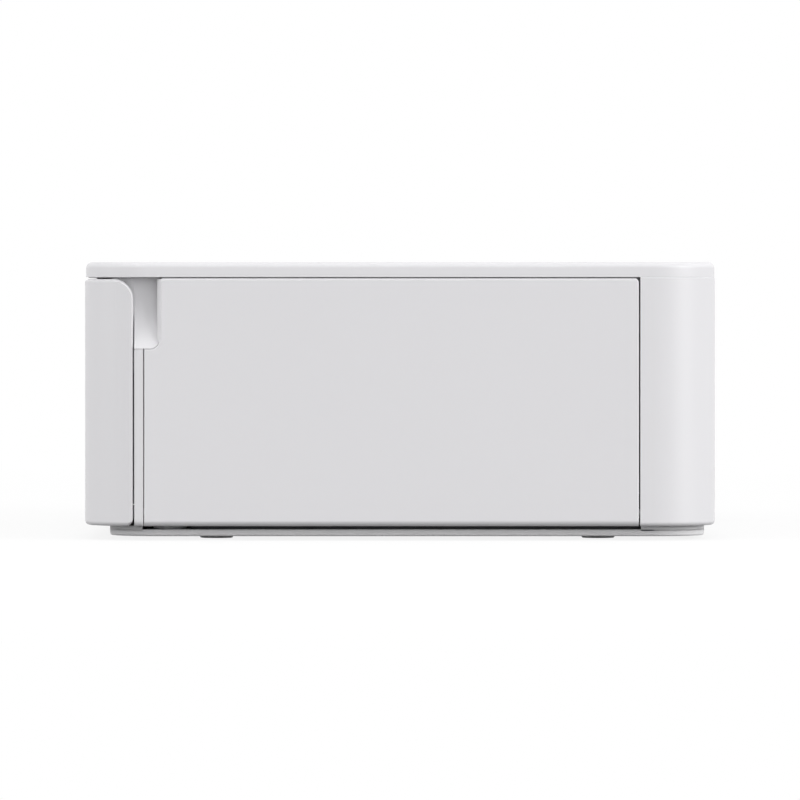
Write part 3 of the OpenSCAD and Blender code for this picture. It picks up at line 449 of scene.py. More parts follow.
# The feet are grey rubber, set paler than their own grey as painted light for the shadow they sit in under
# the pan
footRubber = softRubber("footRubber", (0.4, 0.4, 0.405))
rollerRubber = softRubber("rollerRubber", (0.035, 0.036, 0.038), 0.7)
sheetSteel = brushedMetal("sheetSteel", (0.58, 0.59, 0.6))
shaftSteel = brushedMetal("shaftSteel", (0.66, 0.67, 0.68), (1600, 40, 40), 0.26)
springSteel = brushedMetal("springSteel", (0.5, 0.5, 0.51), (300, 300, 300), 0.3)
finMetal = castFins("finMetal")
pinionBrass = turnedBrass("pinionBrass")
boardGreen = circuitBoard("boardGreen")
paneBlack = darkGlass("paneBlack", window)
filmDark = woundFilm("filmDark")
headCeramic = glazedCeramic("headCeramic")
print("materials made")


# Outer size of the case, and the heights where its pieces meet
case = {
    "halfWidth": 91.1, "halfDepth": 66.5, "corner": 13.5, "cornerSteps": 24, "wall": 2.0,
    "panLow": 0.8, "panHigh": 2.2, "bottom": 3.0, "top": 55.4, "height": 58.4,
}
hw, hd = case["halfWidth"], case["halfDepth"]
# Where the pieces of the side meet, front to back
seams = {"coverEnd": -56.05, "jamb": (-55.75, -53.85), "door": (-53.7, 50.1), "scoop": -50.3, "rear": 50.4}
quarterTurns = (0, math.pi / 2, math.pi, 1.5 * math.pi)


def roundedSlab(name, bottom, top, inset=0.0, front=None):
    # Block with the case's plan corners
    front = inset - hd if front is None else front
    piece = block(name, (inset - hw, front, bottom), (hw - inset, hd - inset, top))
    roundPlan(piece, case["corner"] - inset, case["cornerSteps"])
    return piece


def makeTopPlate():
    plate = {
        "fillet": 1.25, "filletSteps": 6, "inset": 0.12, "frontInset": 0.22,
        "skirt": 0.15, "skirtWide": 1.3, "underEdge": 0.06,  # lower edge that hangs past the joint
        "neck": (-64.2, -62.7), "neckDepth": 5, "neckWide": 74, "ribs": (-60, -20, 20, 60), "ribThick": 1.5,
        "posts": ((16, -46), (70, -46), (16, 42), (71.5, 43.5)), "postRadius": 2, "sunk": 0.5,
        "rim": 0.3, "rimInset": 0.6, "rimWide": 1, "rimEnd": 0.4,  # closes the groove over the cover
    }
    top, height = case["top"], case["height"]
    edge = top - plate["skirt"]
    piece = roundedSlab("topPlate", edge, height, inset=plate["inset"], front=plate["frontInset"] - hd)
    roundLevel(piece, height, plate["fillet"], plate["filletSteps"])
    roundLevel(piece, edge, plate["underEdge"], 2)
    cut(piece, roundedSlab("underside", edge - 1, top, inset=plate["skirtWide"]))
    wx, wy = (size / 2 for size in window["size"])
    cx, cy = window["centre"]
    mx, my = window["lightMargin"]
    recess = block("recess", (cx - wx, cy - wy, height - window["recess"]), (cx + wx, cy + wy, height + 1))
    roundPlan(recess, window["corner"], 6)
    light = block("light", (cx - wx + mx, cy - wy + my, top - 1), (cx + wx - mx, cy + wy - my, height))
    cut(piece, recess, light)
    for key in keys:
        cut(piece, keyBlank("hole", key, keyRow["gap"], top - 1, height + 1))
    soften(piece, 0.18, 2)
    y0, y1 = plate["neck"]
    low, high = top - plate["neckDepth"], top + plate["sunk"]
    wide, half = plate["neckWide"], plate["ribThick"] / 2
    neck = block("neck", (-wide, y0, low), (wide, y1, high))
    ribs = [block("rib", (x - half, y1 - 1, low), (x + half, seams["jamb"][0] - 0.3, high))
            for x in plate["ribs"]]
    board = keyRow["board"]
    posts = [drum("post", (x, y, (board + high) / 2), plate["postRadius"], high - board, sides=24)
             for x, y in plate["posts"]]
    rim = roundedSlab("rim", top - plate["rim"], top + 0.1, inset=plate["rimInset"])
    cut(rim, roundedSlab("rimRoom", top - 1, top + 1, inset=plate["rimInset"] + plate["rimWide"]))
    slicePlane(rim, (0, seams["coverEnd"] - plate["rimEnd"], 0), (0, 1, 0), fill=True)
    inner = joined("plateInside", neck, rim, *ribs, *posts)
    soften(inner, 0.2, 1)
    install(joined("topPlate", piece, inner), "case", "case_white", whitePlastic, "top_plate")


# Heights and rims that all keys share
keyRow = {
    "gap": 0.2, "low": case["top"] - 0.85, "top": case["height"] - 0.1, "flange": 1.0, "flangeThick": 0.8,
    "stem": case["top"] - 1.35, "stemRadius": 1.2, "board": case["top"] - 2.4, "rim": 0.4,
    "dish": 0.16, "dishSteps": 3, "dishWide": 0.6, "arris": 0.12, "markDeep": 0.03, "markHigh": 0.02,
}
# Each key's centre, radius, length if it is a pill, and the mark on top
keys = [
    {"node": "power_key", "at": (66, 38), "r": 3.5, "mark": "power"},
    {"node": "home_key", "at": (22, -24), "r": 4.5, "mark": "home"},
    {"node": "back_key", "at": (66, -24), "r": 4.5, "mark": "back"},
    {"node": "minus_key", "at": (22, 20), "r": 4.5, "mark": "minus"},
    {"node": "plus_key", "at": (66, 20), "r": 4.5, "mark": "plus"},
    {"node": "print_key", "at": (44, -36), "r": 4.5, "long": 22, "mark": "print"},
    {"node": "nav_ring", "at": (44, -2), "r": 13.6, "mark": "arrows"},
]


def keyBlank(name, key, grow, low, high):
    x, y = key["at"]
    radius = key["r"] + grow
    if "long" not in key:
        return drum(name, (x, y, (low + high) / 2), radius, high - low, sides=64)
    half = key["long"] / 2 + grow
    piece = block(name, (x - half, y - radius, low), (x + half, y + radius, high))
    # A short straight edge stays at each end, so the dish's insets don't cross
    roundPlan(piece, radius - 0.15, 16)
    return piece


def flatArc(name, x, y, z, radius, thick, skip):
    # Ring lying flat, with the faces inside the skipped angle taken out
    nothingPicked()
    bpy.ops.mesh.primitive_torus_add(
        location=Vector((x, y, z)) * mm, major_radius=radius * mm, minor_radius=thick * mm,
        major_segments=36, minor_segments=6)
    bpy.ops.transform.resize(value=(1, 1, 0.25))
    piece = named(name)
    start, end = skip
    dropFaces(piece, lambda c, n: start < math.degrees(math.atan2(c.y - y, c.x - x)) % 360 < end)
    return piece


def arrowHead(name, x, y, z, size, turn):
    nothingPicked()
    bpy.ops.mesh.primitive_cylinder_add(
        vertices=3, radius=size * mm, depth=0.05 * mm, location=Vector((x, y, z)) * mm,
        rotation=(0, 0, math.radians(turn)))
    return named(name)


def keyMarks(key, z):
    x, y = key["at"]
    kind = key["mark"]

    def bar(x0, y0, x1, y1):
        low, high = z - keyRow["markDeep"], z + keyRow["markHigh"]
        return block("bar", (x + x0, y + y0, low), (x + x1, y + y1, high))

    def arrow(name, dx, dy, size, turn):
        return arrowHead(name, x + dx, y + dy, z, size, turn)

    if kind == "power":
        return [flatArc("arc", x, y, z, 1.5, 0.2, (55, 125)), bar(-0.2, 0.3, 0.2, 2.0)]
    if kind == "plus":
        return [bar(-1.6, -0.2, 1.6, 0.2), bar(-0.2, 0.2, 0.2, 1.6), bar(-0.2, -1.6, 0.2, -0.2)]
    if kind == "minus":
        return [bar(-1.6, -0.2, 1.6, 0.2)]
    if kind == "home":
        return [arrow("roof", 0, 0.55, 1.7, 0), bar(-1.05, -1.5, -0.3, -0.3), bar(0.3, -1.5, 1.05, -0.3),
                bar(-1.05, -0.4, 1.05, -0.2)]
    if kind == "back":
        return [flatArc("arc", x, y, z, 1.3, 0.2, (180, 290)), arrow("head", -1.3, -0.25, 0.75, 180)]
    if kind == "print":
        return [bar(-3.0, -1.9, 3.0, -1.6), bar(-3.0, 1.6, 3.0, 1.9), bar(-3.0, -1.6, -2.7, 1.6),
                bar(2.7, -1.6, 3.0, 1.6), arrow("peak", -0.6, -0.55, 1.3, 0),
                arrow("hill", 1.2, -0.75, 0.9, 0)]
    reach = 9.9
    return [arrow("tip", reach * math.cos(a), reach * math.sin(a), 0.95, math.degrees(a) - 90)
            for a in quarterTurns]


def finishKey(piece, key, z, material):
    body = key["node"]
    marks = joined(body + "Mark", *keyMarks(key, z))
    soften(marks, 0.02, 1)
    install(marks, body, "key_grey", markInk)
    soften(piece, keyRow["arris"], 2)
    install(piece, body, "key_grey", material, body)


def makeKeys():
    low, top, thick = keyRow["low"], keyRow["top"], keyRow["flangeThick"]
    okKey = {"node": "ok_key", "at": keys[-1]["at"], "r": 5.6, "mark": ""}  # sits inside the ring
    for key in keys[:-1] + [okKey]:
        x, y = key["at"]
        cap = keyBlank(key["node"] + "Cap", key, 0, low, top)
        roundLevel(cap, top, keyRow["rim"], 4)
        # Shallow dish for the fingertip
        steps = keyRow["dishSteps"]
        pick(cap, "faces", lambda c, n: n.z > 0.99 and c.z > top - 0.01)
        for _ in range(steps):
            bpy.ops.mesh.inset(thickness=key["r"] * keyRow["dishWide"] / steps * mm)
            bpy.ops.transform.translate(value=(0, 0, -keyRow["dish"] / steps * mm))
        closeMesh()
        flange = keyBlank("flange", key, keyRow["flange"], low, low + thick)
        stem = drum("stem", (x, y, keyRow["stem"] + 0.5), keyRow["stemRadius"], 1, sides=24)
        piece = joined(key["node"] + "Cap", cap, flange, stem)
        if key["mark"]:
            finishKey(piece, key, top - keyRow["dish"], keyPlastic)
        else:
            soften(piece, keyRow["arris"], 2)
            install(piece, "ok_key", "key_grey", keyPlastic, "ok_key")


def makeDirectionRing():
    ring = {
        "radius": 13.5, "inner": 6.0, "innerStep": 7.6, "low": case["top"] - 1.1, "step": case["top"] + 0.4,
        "top": case["height"] - 0.2, "edge": 0.6, "brim": 1, "brimThick": 0.5, "stemAt": 11,
        "stemRadius": 0.8,
    }
    key = keys[-1]
    x, y = key["at"]
    radius, low, top, step = ring["radius"], ring["low"], ring["top"], ring["step"]
    below = 50  # well under the ring
    cap = drum("nav_ringCap", (x, y, (low + top) / 2), radius, top - low, sides=96)
    roundLevel(cap, top, ring["edge"], 5)
    cut(cap, drum("bore", (x, y, 55), ring["inner"], 12, sides=96),
        drum("counter", (x, y, (below + step) / 2), ring["innerStep"], step - below, sides=96))
    thick = ring["brimThick"]
    brim = drum("brim", (x, y, low + thick / 2), radius + ring["brim"], thick, sides=96)
    cut(brim, drum("bore", (x, y, 55), ring["innerStep"], 12, sides=96))
    away = ring["stemAt"]
    stems = [drum("stem", (x + away * math.cos(a), y + away * math.sin(a), keyRow["stem"] + 0.5),
                  ring["stemRadius"], 1, sides=20) for a in quarterTurns]
    piece = joined("nav_ringCap", cap, brim, *stems)
    finishKey(piece, key, top, ringPlastic)


def makeDisplayWindow():
    gap, base = window["gap"], case["height"] - window["recess"]
    wx, wy = (size / 2 - gap for size in window["size"])
    cx, cy = window["centre"]
    top = base + window["thick"]
    piece = block("displayWindow", (cx - wx, cy - wy, base), (cx + wx, cy + wy, top))
    roundPlan(piece, window["corner"] - gap, 6)
    roundLevel(piece, top, window["edge"], 3)
    soften(piece, 0.05, 1)
    install(piece, "case", "window_black", paneBlack, "display_window")


def outside(point, inset=0.3):
    # True for a point on the case's outer skin
    r = case["corner"]
    dx, dy = abs(point.x) - (hw - r), abs(point.y) - (hd - r)
    if dx > 0 and dy > 0:
        return math.hypot(dx, dy) > r - inset
    return dx > r - inset or dy > r - inset


def roundSkin(piece, level, radius, segments):
    roundEdges(piece, lambda a, b: near((a.z, level), (b.z, level)) and outside(a) and outside(b),
               radius, segments)


def makeFrontCover():
    cover = {
        "top": case["top"] - 0.55, "skin": (0.5, 0.25), "corner": 4.1, "foot": 1.6, "edge": 0.25,
        "rolled": 0.95,
        # Hinge ears with their webs, and stiffening ribs; depths are measured in from the front
        "axis": (-63.3, case["bottom"] + 1.6), "ear": (1.6, 3.0), "ears": (-70, 70), "web": (1.6, 3.2),
        "webHigh": 6, "ribs": (-54, -30, 30, 54), "ribHalf": 0.6, "ribDepth": (1.7, 3.7),
        "ribHigh": (10, case["top"] - 7),
    }
    bottom, top, end = case["bottom"], cover["top"], seams["coverEnd"]
    piece = roundedSlab("frontCover", bottom, top)
    dropFaces(piece, lambda c, n: abs(n.z) > 0.9 or c.y > hd - 1)
    slicePlane(piece, (0, end + 1, 0), (0, 1, 0))
    useModifier(piece, "SOLIDIFY", thickness=case["wall"] * mm, offset=-1, use_even_offset=True)
    roundSkin(piece, bottom, cover["rolled"], 5)

    def sideOutline(high):
        # What the cover may fill, seen from the side
        low = bottom - 0.01
        room = block("outline", (-hw - 2, -hd - 2, low), (hw + 2, end, high))
        for level, radius, steps in ((high, cover["corner"], 16), (low, cover["foot"], 6)):
            roundEdges(room, both(y=end, z=level), radius, steps)
        return room

    keepInside(piece, sideOutline(top))
    # The outer skin stops lower, so the groove under the plate has a lit step behind it
    skin, drop = cover["skin"]
    step = roundedSlab("step", top - 8, top + 1, inset=-1)
    cut(step, roundedSlab("stepRoom", top - 9, top + 2, inset=skin), sideOutline(top - drop))
    cut(piece, step)

    def onRim(point):
        # True along the top, the rear end and the two arcs between
        slack = 0.03
        arcs = ((top - drop - cover["corner"], 1, cover["corner"]),
                (bottom + cover["foot"], -1, cover["foot"]))
        onArc = any(point.y > end - r - slack and (point.z - z) * way > -slack and
                    abs(math.hypot(point.y - end + r, point.z - z) - r) < slack for z, way, r in arcs)
        return onArc or near((point.y, end)) or near((point.z, top - drop))

    roundEdges(piece, lambda a, b: all(outside(p) and onRim(p) for p in (a, b)), cover["edge"], 1)
    soften(piece, 0.04, 1, angle=60, smooth=30)
    y, z = cover["axis"]
    radius, thick = cover["ear"]
    parts = []
    half = thick / 2
    y0, y1 = (depth - hd for depth in cover["web"])
    for x in cover["ears"]:
        parts += [drum("ear", (x, y, z), radius, thick, "X", 32),
                  block("web", (x - half, y0, bottom), (x + half, y1, bottom + cover["webHigh"]))]
    half, (z0, z1) = cover["ribHalf"], cover["ribHigh"]
    y0, y1 = (depth - hd for depth in cover["ribDepth"])
    for x in cover["ribs"]:
        parts.append(block("rib", (x - half, y0, z0), (x + half, y1, z1)))
    inner = joined("coverInside", *parts)
    soften(inner, 0.2, 2)
    install(joined("frontCover", piece, inner), "front_cover", "case_white", whitePlastic, "front_cover")


# Hollow for a fingertip in front of the ink door: a dish turned about an axis that runs front to back
scoop = {
    "bottom": case["top"] - 15.2, "centre": (119.6, case["top"]), "radius": 32.3, "corner": 2.05,
    "coverCorner": 2.6, "behindDoor": 88.9, "inner": 82.1, "outer": 88.2, "reach": 4.75,
    "post": (85.3, 88.7), "postLow": 9.6,
}


def dishDrum(middleY, shrink=0.0):
    x, z = scoop["centre"]
    return drum("dish", (x, middleY, z), scoop["radius"] - shrink, 30, "Y", 360)


def makeInkDoor():
    door = {
        "top": case["top"] - 0.35, "skin": (0.5, 0.2), "notchCorner": 2.2, "frontCorner": 0.7,
        "backCorner": 1.0, "edge": 0.25, "rolled": 1.3, "ramp": 0.65, "rampInset": 0.12,
        # Hinge lugs with their stubs, then the tabs and ribs inside
        "axis": (88.7, case["bottom"] + 2.6), "lug": (2.0, 3.0), "stub": 0.95, "stubLong": (2, 2.7),
        "tabs": (-36, 14), "tabHalf": 3, "tabReach": 84.5, "tabHigh": (case["top"] - 4.6, case["top"] - 3.4),
        "ribs": (-44, -2, 40), "ribHalf": 0.5, "ribDepth": 0.9, "ribHigh": (12, case["top"] - 8),
    }
    bottom, top, (y0, y1) = case["bottom"], door["top"], seams["door"]
    x0 = hw - case["wall"]
    piece = block("inkDoor", (x0, y0, bottom), (hw, y1, top))
    notchY, notchZ = seams["scoop"], scoop["bottom"]
    bite = block("bite", (x0 - 1, y0 - 3, notchZ), (hw + 1, notchY, top + 2))
    roundEdges(bite, both(y=notchY, z=notchZ), door["notchCorner"], 8)
    cut(piece, bite)
    roundEdges(piece, both(y=notchY, z=top), door["frontCorner"], 6)
    roundEdges(piece, both(y=y1, z=top), door["backCorner"], 6)
    roundEdges(piece, both(x=hw, z=bottom), door["rolled"], 6)
    skin, drop = door["skin"]
    cut(piece, block("step", (hw - skin, y0 - 1, top - drop), (hw + 1, y1 + 1, top + 1)))
    onFace, onRoll = both(x=hw), both(z=bottom + door["rolled"])
    roundEdges(piece, lambda a, b: onFace(a, b) and not onRoll(a, b), door["edge"], 1)
    soften(piece, 0.04, 1, angle=60, smooth=30)
    # Sloping side of the scoop, from the notch's edge down to the dish
    reachY = notchY - door["ramp"]
    ramp = block("ramp", (x0, reachY, notchZ + 0.5), (hw - door["rampInset"], notchY + 0.3, top - 0.2))
    slicePlane(ramp, (hw, notchY, 0), (door["ramp"], -case["wall"], 0), fill=True)
    keepInside(ramp, dishDrum(-50, shrink=0.15))
    ax, az = door["axis"]
    lugR, lugT = door["lug"]
    short, long = door["stubLong"]
    parts = [drum("lug", (ax, y, az), lugR, lugT, "Y", 32)
             for y in (y0 + lugT / 2, y1 - lugT / 2)]
    parts += [drum("stub", (ax, y0 - 0.4, az), door["stub"], short, "Y", 24),
              drum("stub", (ax, y1 + 0.85, az), door["stub"], long, "Y", 24)]
    (z0, z1), half = door["tabHigh"], door["tabHalf"]
    parts += [block("tab", (door["tabReach"], y - half, z0), (x0 + 0.5, y + half, z1)) for y in door["tabs"]]
    (z0, z1), half = door["ribHigh"], door["ribHalf"]
    parts += [block("rib", (x0 - door["ribDepth"], y - half, z0), (x0 + 0.3, y + half, z1))
              for y in door["ribs"]]
    inner = joined("doorInside", ramp, *parts)
    soften(inner, 0.2, 2)
    install(joined("inkDoor", piece, inner), "ink_door", "case_white", whitePlastic, "ink_door")


# Columns inside the case that the screws go up into
columns = {"x": 80, "y": (-48.5, 56), "radius": 3.5, "bore": 1.25}
screwPlaces = [(side * columns["x"], y) for side in (-1, 1) for y in columns["y"]]


def slitPlaces(row):
    # Middle of each slit in a row of vents
    return [row["middle"] + row["pitch"] * i for i in range(-row["eachWay"], row["eachWay"] + 1)]


def makeCaseShell():
    shell = {
        "lip": 0.15, "rolled": 0.9, "topEdge": 0.2, "rearEdge": 0.12, "sillEdge": 0.6, "stripFoot": 1.2,
        "jambIn": 85.3, "scoopFrom": 82.6,
        # Openings as x and z of two corners: print mouth and card slot in front;
        # paper slot, power inlet and data socket behind
        "frontOpenings": ((-37, 3.8, 76.4, 24), (-76.0, 5.4, -51.2, 8.1)),
        "rearOpenings": ((-34, 19, 74, 24), (-72.8, 5.2, -63.4, 16.4), (-60.8, 5.2, -51.4, 8.6)),
        "rearVents": {"middle": -60.1, "pitch": 3, "eachWay": 3, "high": (25, 43)},
        "sideVents": {"middle": 14, "pitch": 3.2, "eachWay": 5, "high": (22, 44)}, "ventHalf": 0.8,
        # Arms that carry the front cover's pivots
        "arm": (64.2, -63.3, case["bottom"] + 1.6), "armWide": 4, "armHigh": (0.95, 2.2),
        "stub": 0.95, "stubLong": 7.3,
    }
    bottom, top, wall = case["bottom"], case["top"], case["wall"]
    (y0, y1), rear, lip = seams["jamb"], seams["rear"], case["top"] - shell["lip"]
    # Rear and far walls, up to the ink door on the near side
    walls = roundedSlab("caseWalls", bottom, lip)
    dropFaces(walls, lambda c, n: abs(n.z) > 0.9)
    slicePlane(walls, (0, y0, 0), (0, -1, 0))
    slicePlane(walls, (0, rear, 0), (0, 1, 0), keepBehind=False)
    dropFaces(walls, lambda c, n: c.x > hw - 20 and c.y < rear)
    useModifier(walls, "SOLIDIFY", thickness=wall * mm, offset=-1, use_even_offset=True)
    roundSkin(walls, bottom, shell["rolled"], 5)

    def slots(start, end, openings):
        return [block("slot", (x0, start, z0), (x1, end, z1)) for x0, z0, x1, z1 in openings]

    half = shell["ventHalf"]
    low, high = shell["rearVents"]["high"]
    slits = [(x - half, low, x + half, high) for x in slitPlaces(shell["rearVents"])]
    cut(walls, *slots(hd - wall - 1, hd + 1, [*shell["rearOpenings"], *slits]))
    low, high = shell["sideVents"]["high"]
    for y in slitPlaces(shell["sideVents"]):
        cut(walls, block("vent", (-hw - 1, y - half, low), (-hw + wall + 1, y + half, high)))
    roundSkin(walls, lip, shell["topEdge"], 1)
    roundEdges(walls, both(x=hw, y=rear), shell["rearEdge"], 1)
    soften(walls, 0.04, 1, angle=60, smooth=30)
    # Front wall; its end shows as the narrow strip in front of the ink door
    front = roundedSlab("frontWall", bottom, top)
    slicePlane(front, (0, y0, 0), (0, -1, 0), fill=True)
    slicePlane(front, (0, y1, 0), (0, 1, 0), fill=True)
    sill = scoop["bottom"]
    mouth, card = shell["frontOpenings"]
    scoopRoom = (shell["scoopFrom"], sill, hw + 1, top + 1)
    cut(front, *slots(y0 - 1, y1 + 1, (mouth, scoopRoom, card)))
    roundEdges(front, both(y=y0, z=sill), shell["sillEdge"], 4)

    def stripFoot(a, b):
        return near((a.z, bottom), (b.z, bottom), (a.x, b.x), slack=0.6) and min(a.x, b.x) > hw - 1

    roundEdges(front, stripFoot, shell["stripFoot"], 4)
    soften(front, 0.16, 2)
    # Door jambs, screw columns with their ties, arms for the cover
    parts = [block("jamb", (shell["jambIn"], y0 + 0.3, bottom), (hw - wall, y1 - 0.1, sill)),
             block("jamb", (shell["jambIn"], rear, bottom), (hw - wall / 2, rear + wall, top))]
    foot = case["panHigh"]
    armX, armY, armZ = shell["arm"]
    wide, (under, over) = shell["armWide"], shell["armHigh"]
    for side in (-1, 1):
        x = side * columns["x"]
        for y in columns["y"]:
            column = drum("column", (x, y, (foot + top) / 2), columns["radius"], top - foot, sides=32)
            cut(column, drum("bore", (x, y, 5), columns["bore"], 8.2, sides=24))
            parts.append(column)
        parts.append(block("tie", (x - 1, columns["y"][1], bottom), (x + 1, hd - wall / 2, top)))
        parts.append(block("tie", (x - 1, y0 + 0.5, bottom), (x + 1, columns["y"][0], top)))
        left = armX if side > 0 else -armX - wide
        parts.append(block("arm", (left, armY, armZ - under), (left + wide, y0 + 0.5, armZ + over)))
        middle = side * (armX + shell["stubLong"] / 2)
        parts.append(drum("stub", (middle, armY, armZ), shell["stub"], shell["stubLong"], "X", 24))
    inner = joined("shellInside", *parts)
    soften(inner, 0.2, 1)
    for piece in (walls, front, inner):
        install(piece, "case", "case_white", whitePlastic, "main_shell")


def makeFingerScoop():
    # Dished floor behind the cover's corner and the door's notch
    top, y0, y1 = case["top"], seams["jamb"][0], seams["scoop"] - 0.15
    inner, outer, reach = scoop["inner"], scoop["outer"], y0 - scoop["reach"]
    sill = scoop["bottom"] + 0.05
    behind = block("behindCover", (inner, reach, scoop["bottom"] - 5), (outer, y0 + 0.01, top))
    roundEdges(behind, both(x=outer, y=reach), scoop["coverCorner"], 5)
    cut(behind, dishDrum(-55))
    inNotch = block("scoopFloor", (inner, y0, sill), (hw, y1, top))
    roundEdges(inNotch, both(y=y1, z=sill), scoop["corner"], 8)
    cut(inNotch, dishDrum(-55))
    behindDoor = block("behindDoor", (inner, y1 - 0.01, sill),
                       (scoop["behindDoor"], seams["scoop"] + 1, top - 0.6))
    cut(behindDoor, dishDrum(-55))
    x0, x1 = scoop["post"]
    post = block("scoopPost", (x0, seams["jamb"][1] - 0.5, scoop["postLow"]), (x1, y1, scoop["bottom"] + 2))
    piece = joined("fingerScoop", behind, inNotch, behindDoor, post)
    soften(piece, 0.02, 1, 60)
    install(piece, "case", "case_white", whitePlastic, "main_shell")


# Rubber pads under the pan
feet = {"at": [(x, y) for x in (-70, 70) for y in (-38.9, 42)], "radius": 3.5, "high": 1.6, "edge": 0.3,
        "soleRing": (0.9, 0.3, 0.12)}


def makeBasePan():
    pan = {
        "low": case["panLow"], "high": case["panHigh"], "x": 86.9, "front": -61.3, "back": 64.3,
        "corner": 11.0, "edge": 0.45, "plinth": 2.95, "plinthThick": 1.6, "plinthGap": 0.3,
        "headRoom": 2.6, "hole": 1.35,
        "grooves": (-30, -14, 2, 18), "grooveLong": 55, "grooveHalf": 0.8, "grooveDeep": 0.3,
        "standoffs": [(x, y) for x in (-82, -56) for y in (-40, 46)], "standoff": (2, 1.9),
    }
    low, high, wide, front, back = pan["low"], pan["high"], pan["x"], pan["front"], pan["back"]
    piece = block("basePan", (-wide, front, low), (wide, back, high))
    roundPlan(piece, pan["corner"], 20)
    roundLevel(piece, low, pan["edge"], 3)
    for x, y in screwPlaces:
        cut(piece, drum("head", (x, y, low + 0.3), pan["headRoom"], 0.8, sides=32),
            drum("hole", (x, y, 1.5), pan["hole"], 3, sides=24))
    # Shallow stiffening grooves under the pan
    reach, half, deep = pan["grooveLong"], pan["grooveHalf"], low + pan["grooveDeep"]
    for y in pan["grooves"]:
        cut(piece, block("groove", (-reach, y - half, 0), (reach, y + half, deep)))
    for x, y in feet["at"]:
        cut(piece, drum("seat", (x, y, feet["high"] / 2), feet["radius"] + 0.1, feet["high"], sides=40))
    soften(piece, 0.12, 2)
    # Raised edge that meets the case in front of the ink door and behind it
    plinth = block("plinth", (-wide, front, high - 0.3), (wide, back, pan["plinth"]))
    roundPlan(plinth, pan["corner"], 20)
    thick, gap = pan["plinthThick"], pan["plinthGap"]
    room = block("plinthRoom", (thick - wide, front + thick, 0), (wide - thick, back - thick, 9))
    roundPlan(room, pan["corner"] - thick, 12)
    cut(plinth, room, block("underDoor", (-hw, seams["jamb"][1] - gap, 0), (hw, seams["rear"] + gap, 9)))
    radius, tall = pan["standoff"]
    standoffs = [drum("standoff", (x, y, 3.05), radius, tall, sides=24) for x, y in pan["standoffs"]]
    install(joined("basePan", piece, plinth, *standoffs), "case", "pan_grey", brightenedPanPlastic, "base_pan")


def makeFeet():
    pads = []
    high = feet["high"]
    inFromEdge, ringWide, ringDeep = feet["soleRing"]
    for x, y in feet["at"]:
        pad = drum("pad", (x, y, high / 2), feet["radius"], high, sides=40)
        roundLevel(pad, 0, feet["edge"], 3)
        # Fine ring pressed into the sole
        pick(pad, "faces", lambda c, n: n.z < -0.99)
        bpy.ops.mesh.inset(thickness=inFromEdge * mm)
        bpy.ops.mesh.inset(thickness=ringWide * mm)
        bpy.ops.transform.translate(value=(0, 0, ringDeep * mm))
        closeMesh()
        pads.append(pad)
    piece = joined("rubberFeet", *pads)
    soften(piece, 0.05, 1)
    install(piece, "case", "foot_rubber", footRubber, "rubber_feet")


def makeScrews():
    screw = {"head": 2.5, "headHigh": (0.9, 1.5), "edge": 0.15, "cross": (1.3, 0.25),
             "crossHigh": (0.7, 1.35), "shank": 1.2, "shankLong": 7.4, "shankMiddle": 5.1}
    low, high = screw["headHigh"]
    long, thin = screw["cross"]
    under, over = screw["crossHigh"]
    parts = []
    for x, y in screwPlaces:
        head = drum("head", (x, y, (low + high) / 2), screw["head"], high - low, sides=32)
        roundLevel(head, low, screw["edge"], 2)
        cut(head, block("cross", (x - long, y - thin, under), (x + long, y + thin, over)),
            block("cross", (x - thin, y - long, under), (x + thin, y + long, over)))
        shank = drum("shank", (x, y, screw["shankMiddle"]), screw["shank"], screw["shankLong"], sides=20)
        parts += [head, shank]
    piece = joined("caseScrews", *parts)
    soften(piece, 0.05, 1)
    install(piece, "case", "steel", shaftSteel, "case_screws")


def makeHeadSprings():
    # Two coils that lift the print head, between the side plates' shelves and the carriage's tabs
    spring = {"across": (-43.2, 83), "along": 8, "low": 30.35, "high": 36.45, "radius": 1.1, "wire": 0.2,
              "turns": 5, "steps": 20, "sides": 8, "seat": 30.3, "travel": 3.9}
    wire, turns, steps = spring["wire"], spring["turns"], spring["steps"]
    rise = spring["high"] - spring["low"] - 2 * wire
    coils = []
    for x in spring["across"]:
        nothingPicked()
        bpy.ops.mesh.primitive_circle_add(
            vertices=spring["sides"], radius=wire * mm, location=(spring["radius"] * mm, 0, 0),
            rotation=(math.pi / 2, 0, 0))
        coil = named("coil")
        useModifier(coil, "SCREW", axis="Z", angle=2 * math.pi, iterations=turns, steps=steps,
                    render_steps=steps, screw_offset=rise / turns * mm, use_normal_calculate=True)
        bpy.ops.object.mode_set(mode="EDIT")
        bpy.ops.mesh.select_all(action="SELECT")
        bpy.ops.mesh.remove_doubles(threshold=0.001 * mm)
        bpy.ops.mesh.fill_holes(sides=0)
        bpy.ops.mesh.normals_make_consistent(inside=False)
        closeMesh()
        coil.location = Vector((x, spring["along"], spring["low"] + wire)) * mm
        bpy.ops.object.transform_apply(location=True)
        coils.append(coil)
    piece = joined("headSprings", *coils)
    bpy.ops.object.shade_smooth()
    install(piece, "case", "steel", springSteel, "head_springs")
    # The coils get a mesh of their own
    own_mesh(piece)


makeTopPlate()
makeKeys()
makeDirectionRing()
makeDisplayWindow()
print("top plate, keys and display made")
makeFrontCover()
makeInkDoor()
print("cover and door made")
makeCaseShell()
makeFingerScoop()
print("shell and finger scoop made")
makeBasePan()
makeFeet()
makeScrews()
print("pan, feet and screws made")
makeHeadSprings()
print("head springs made")


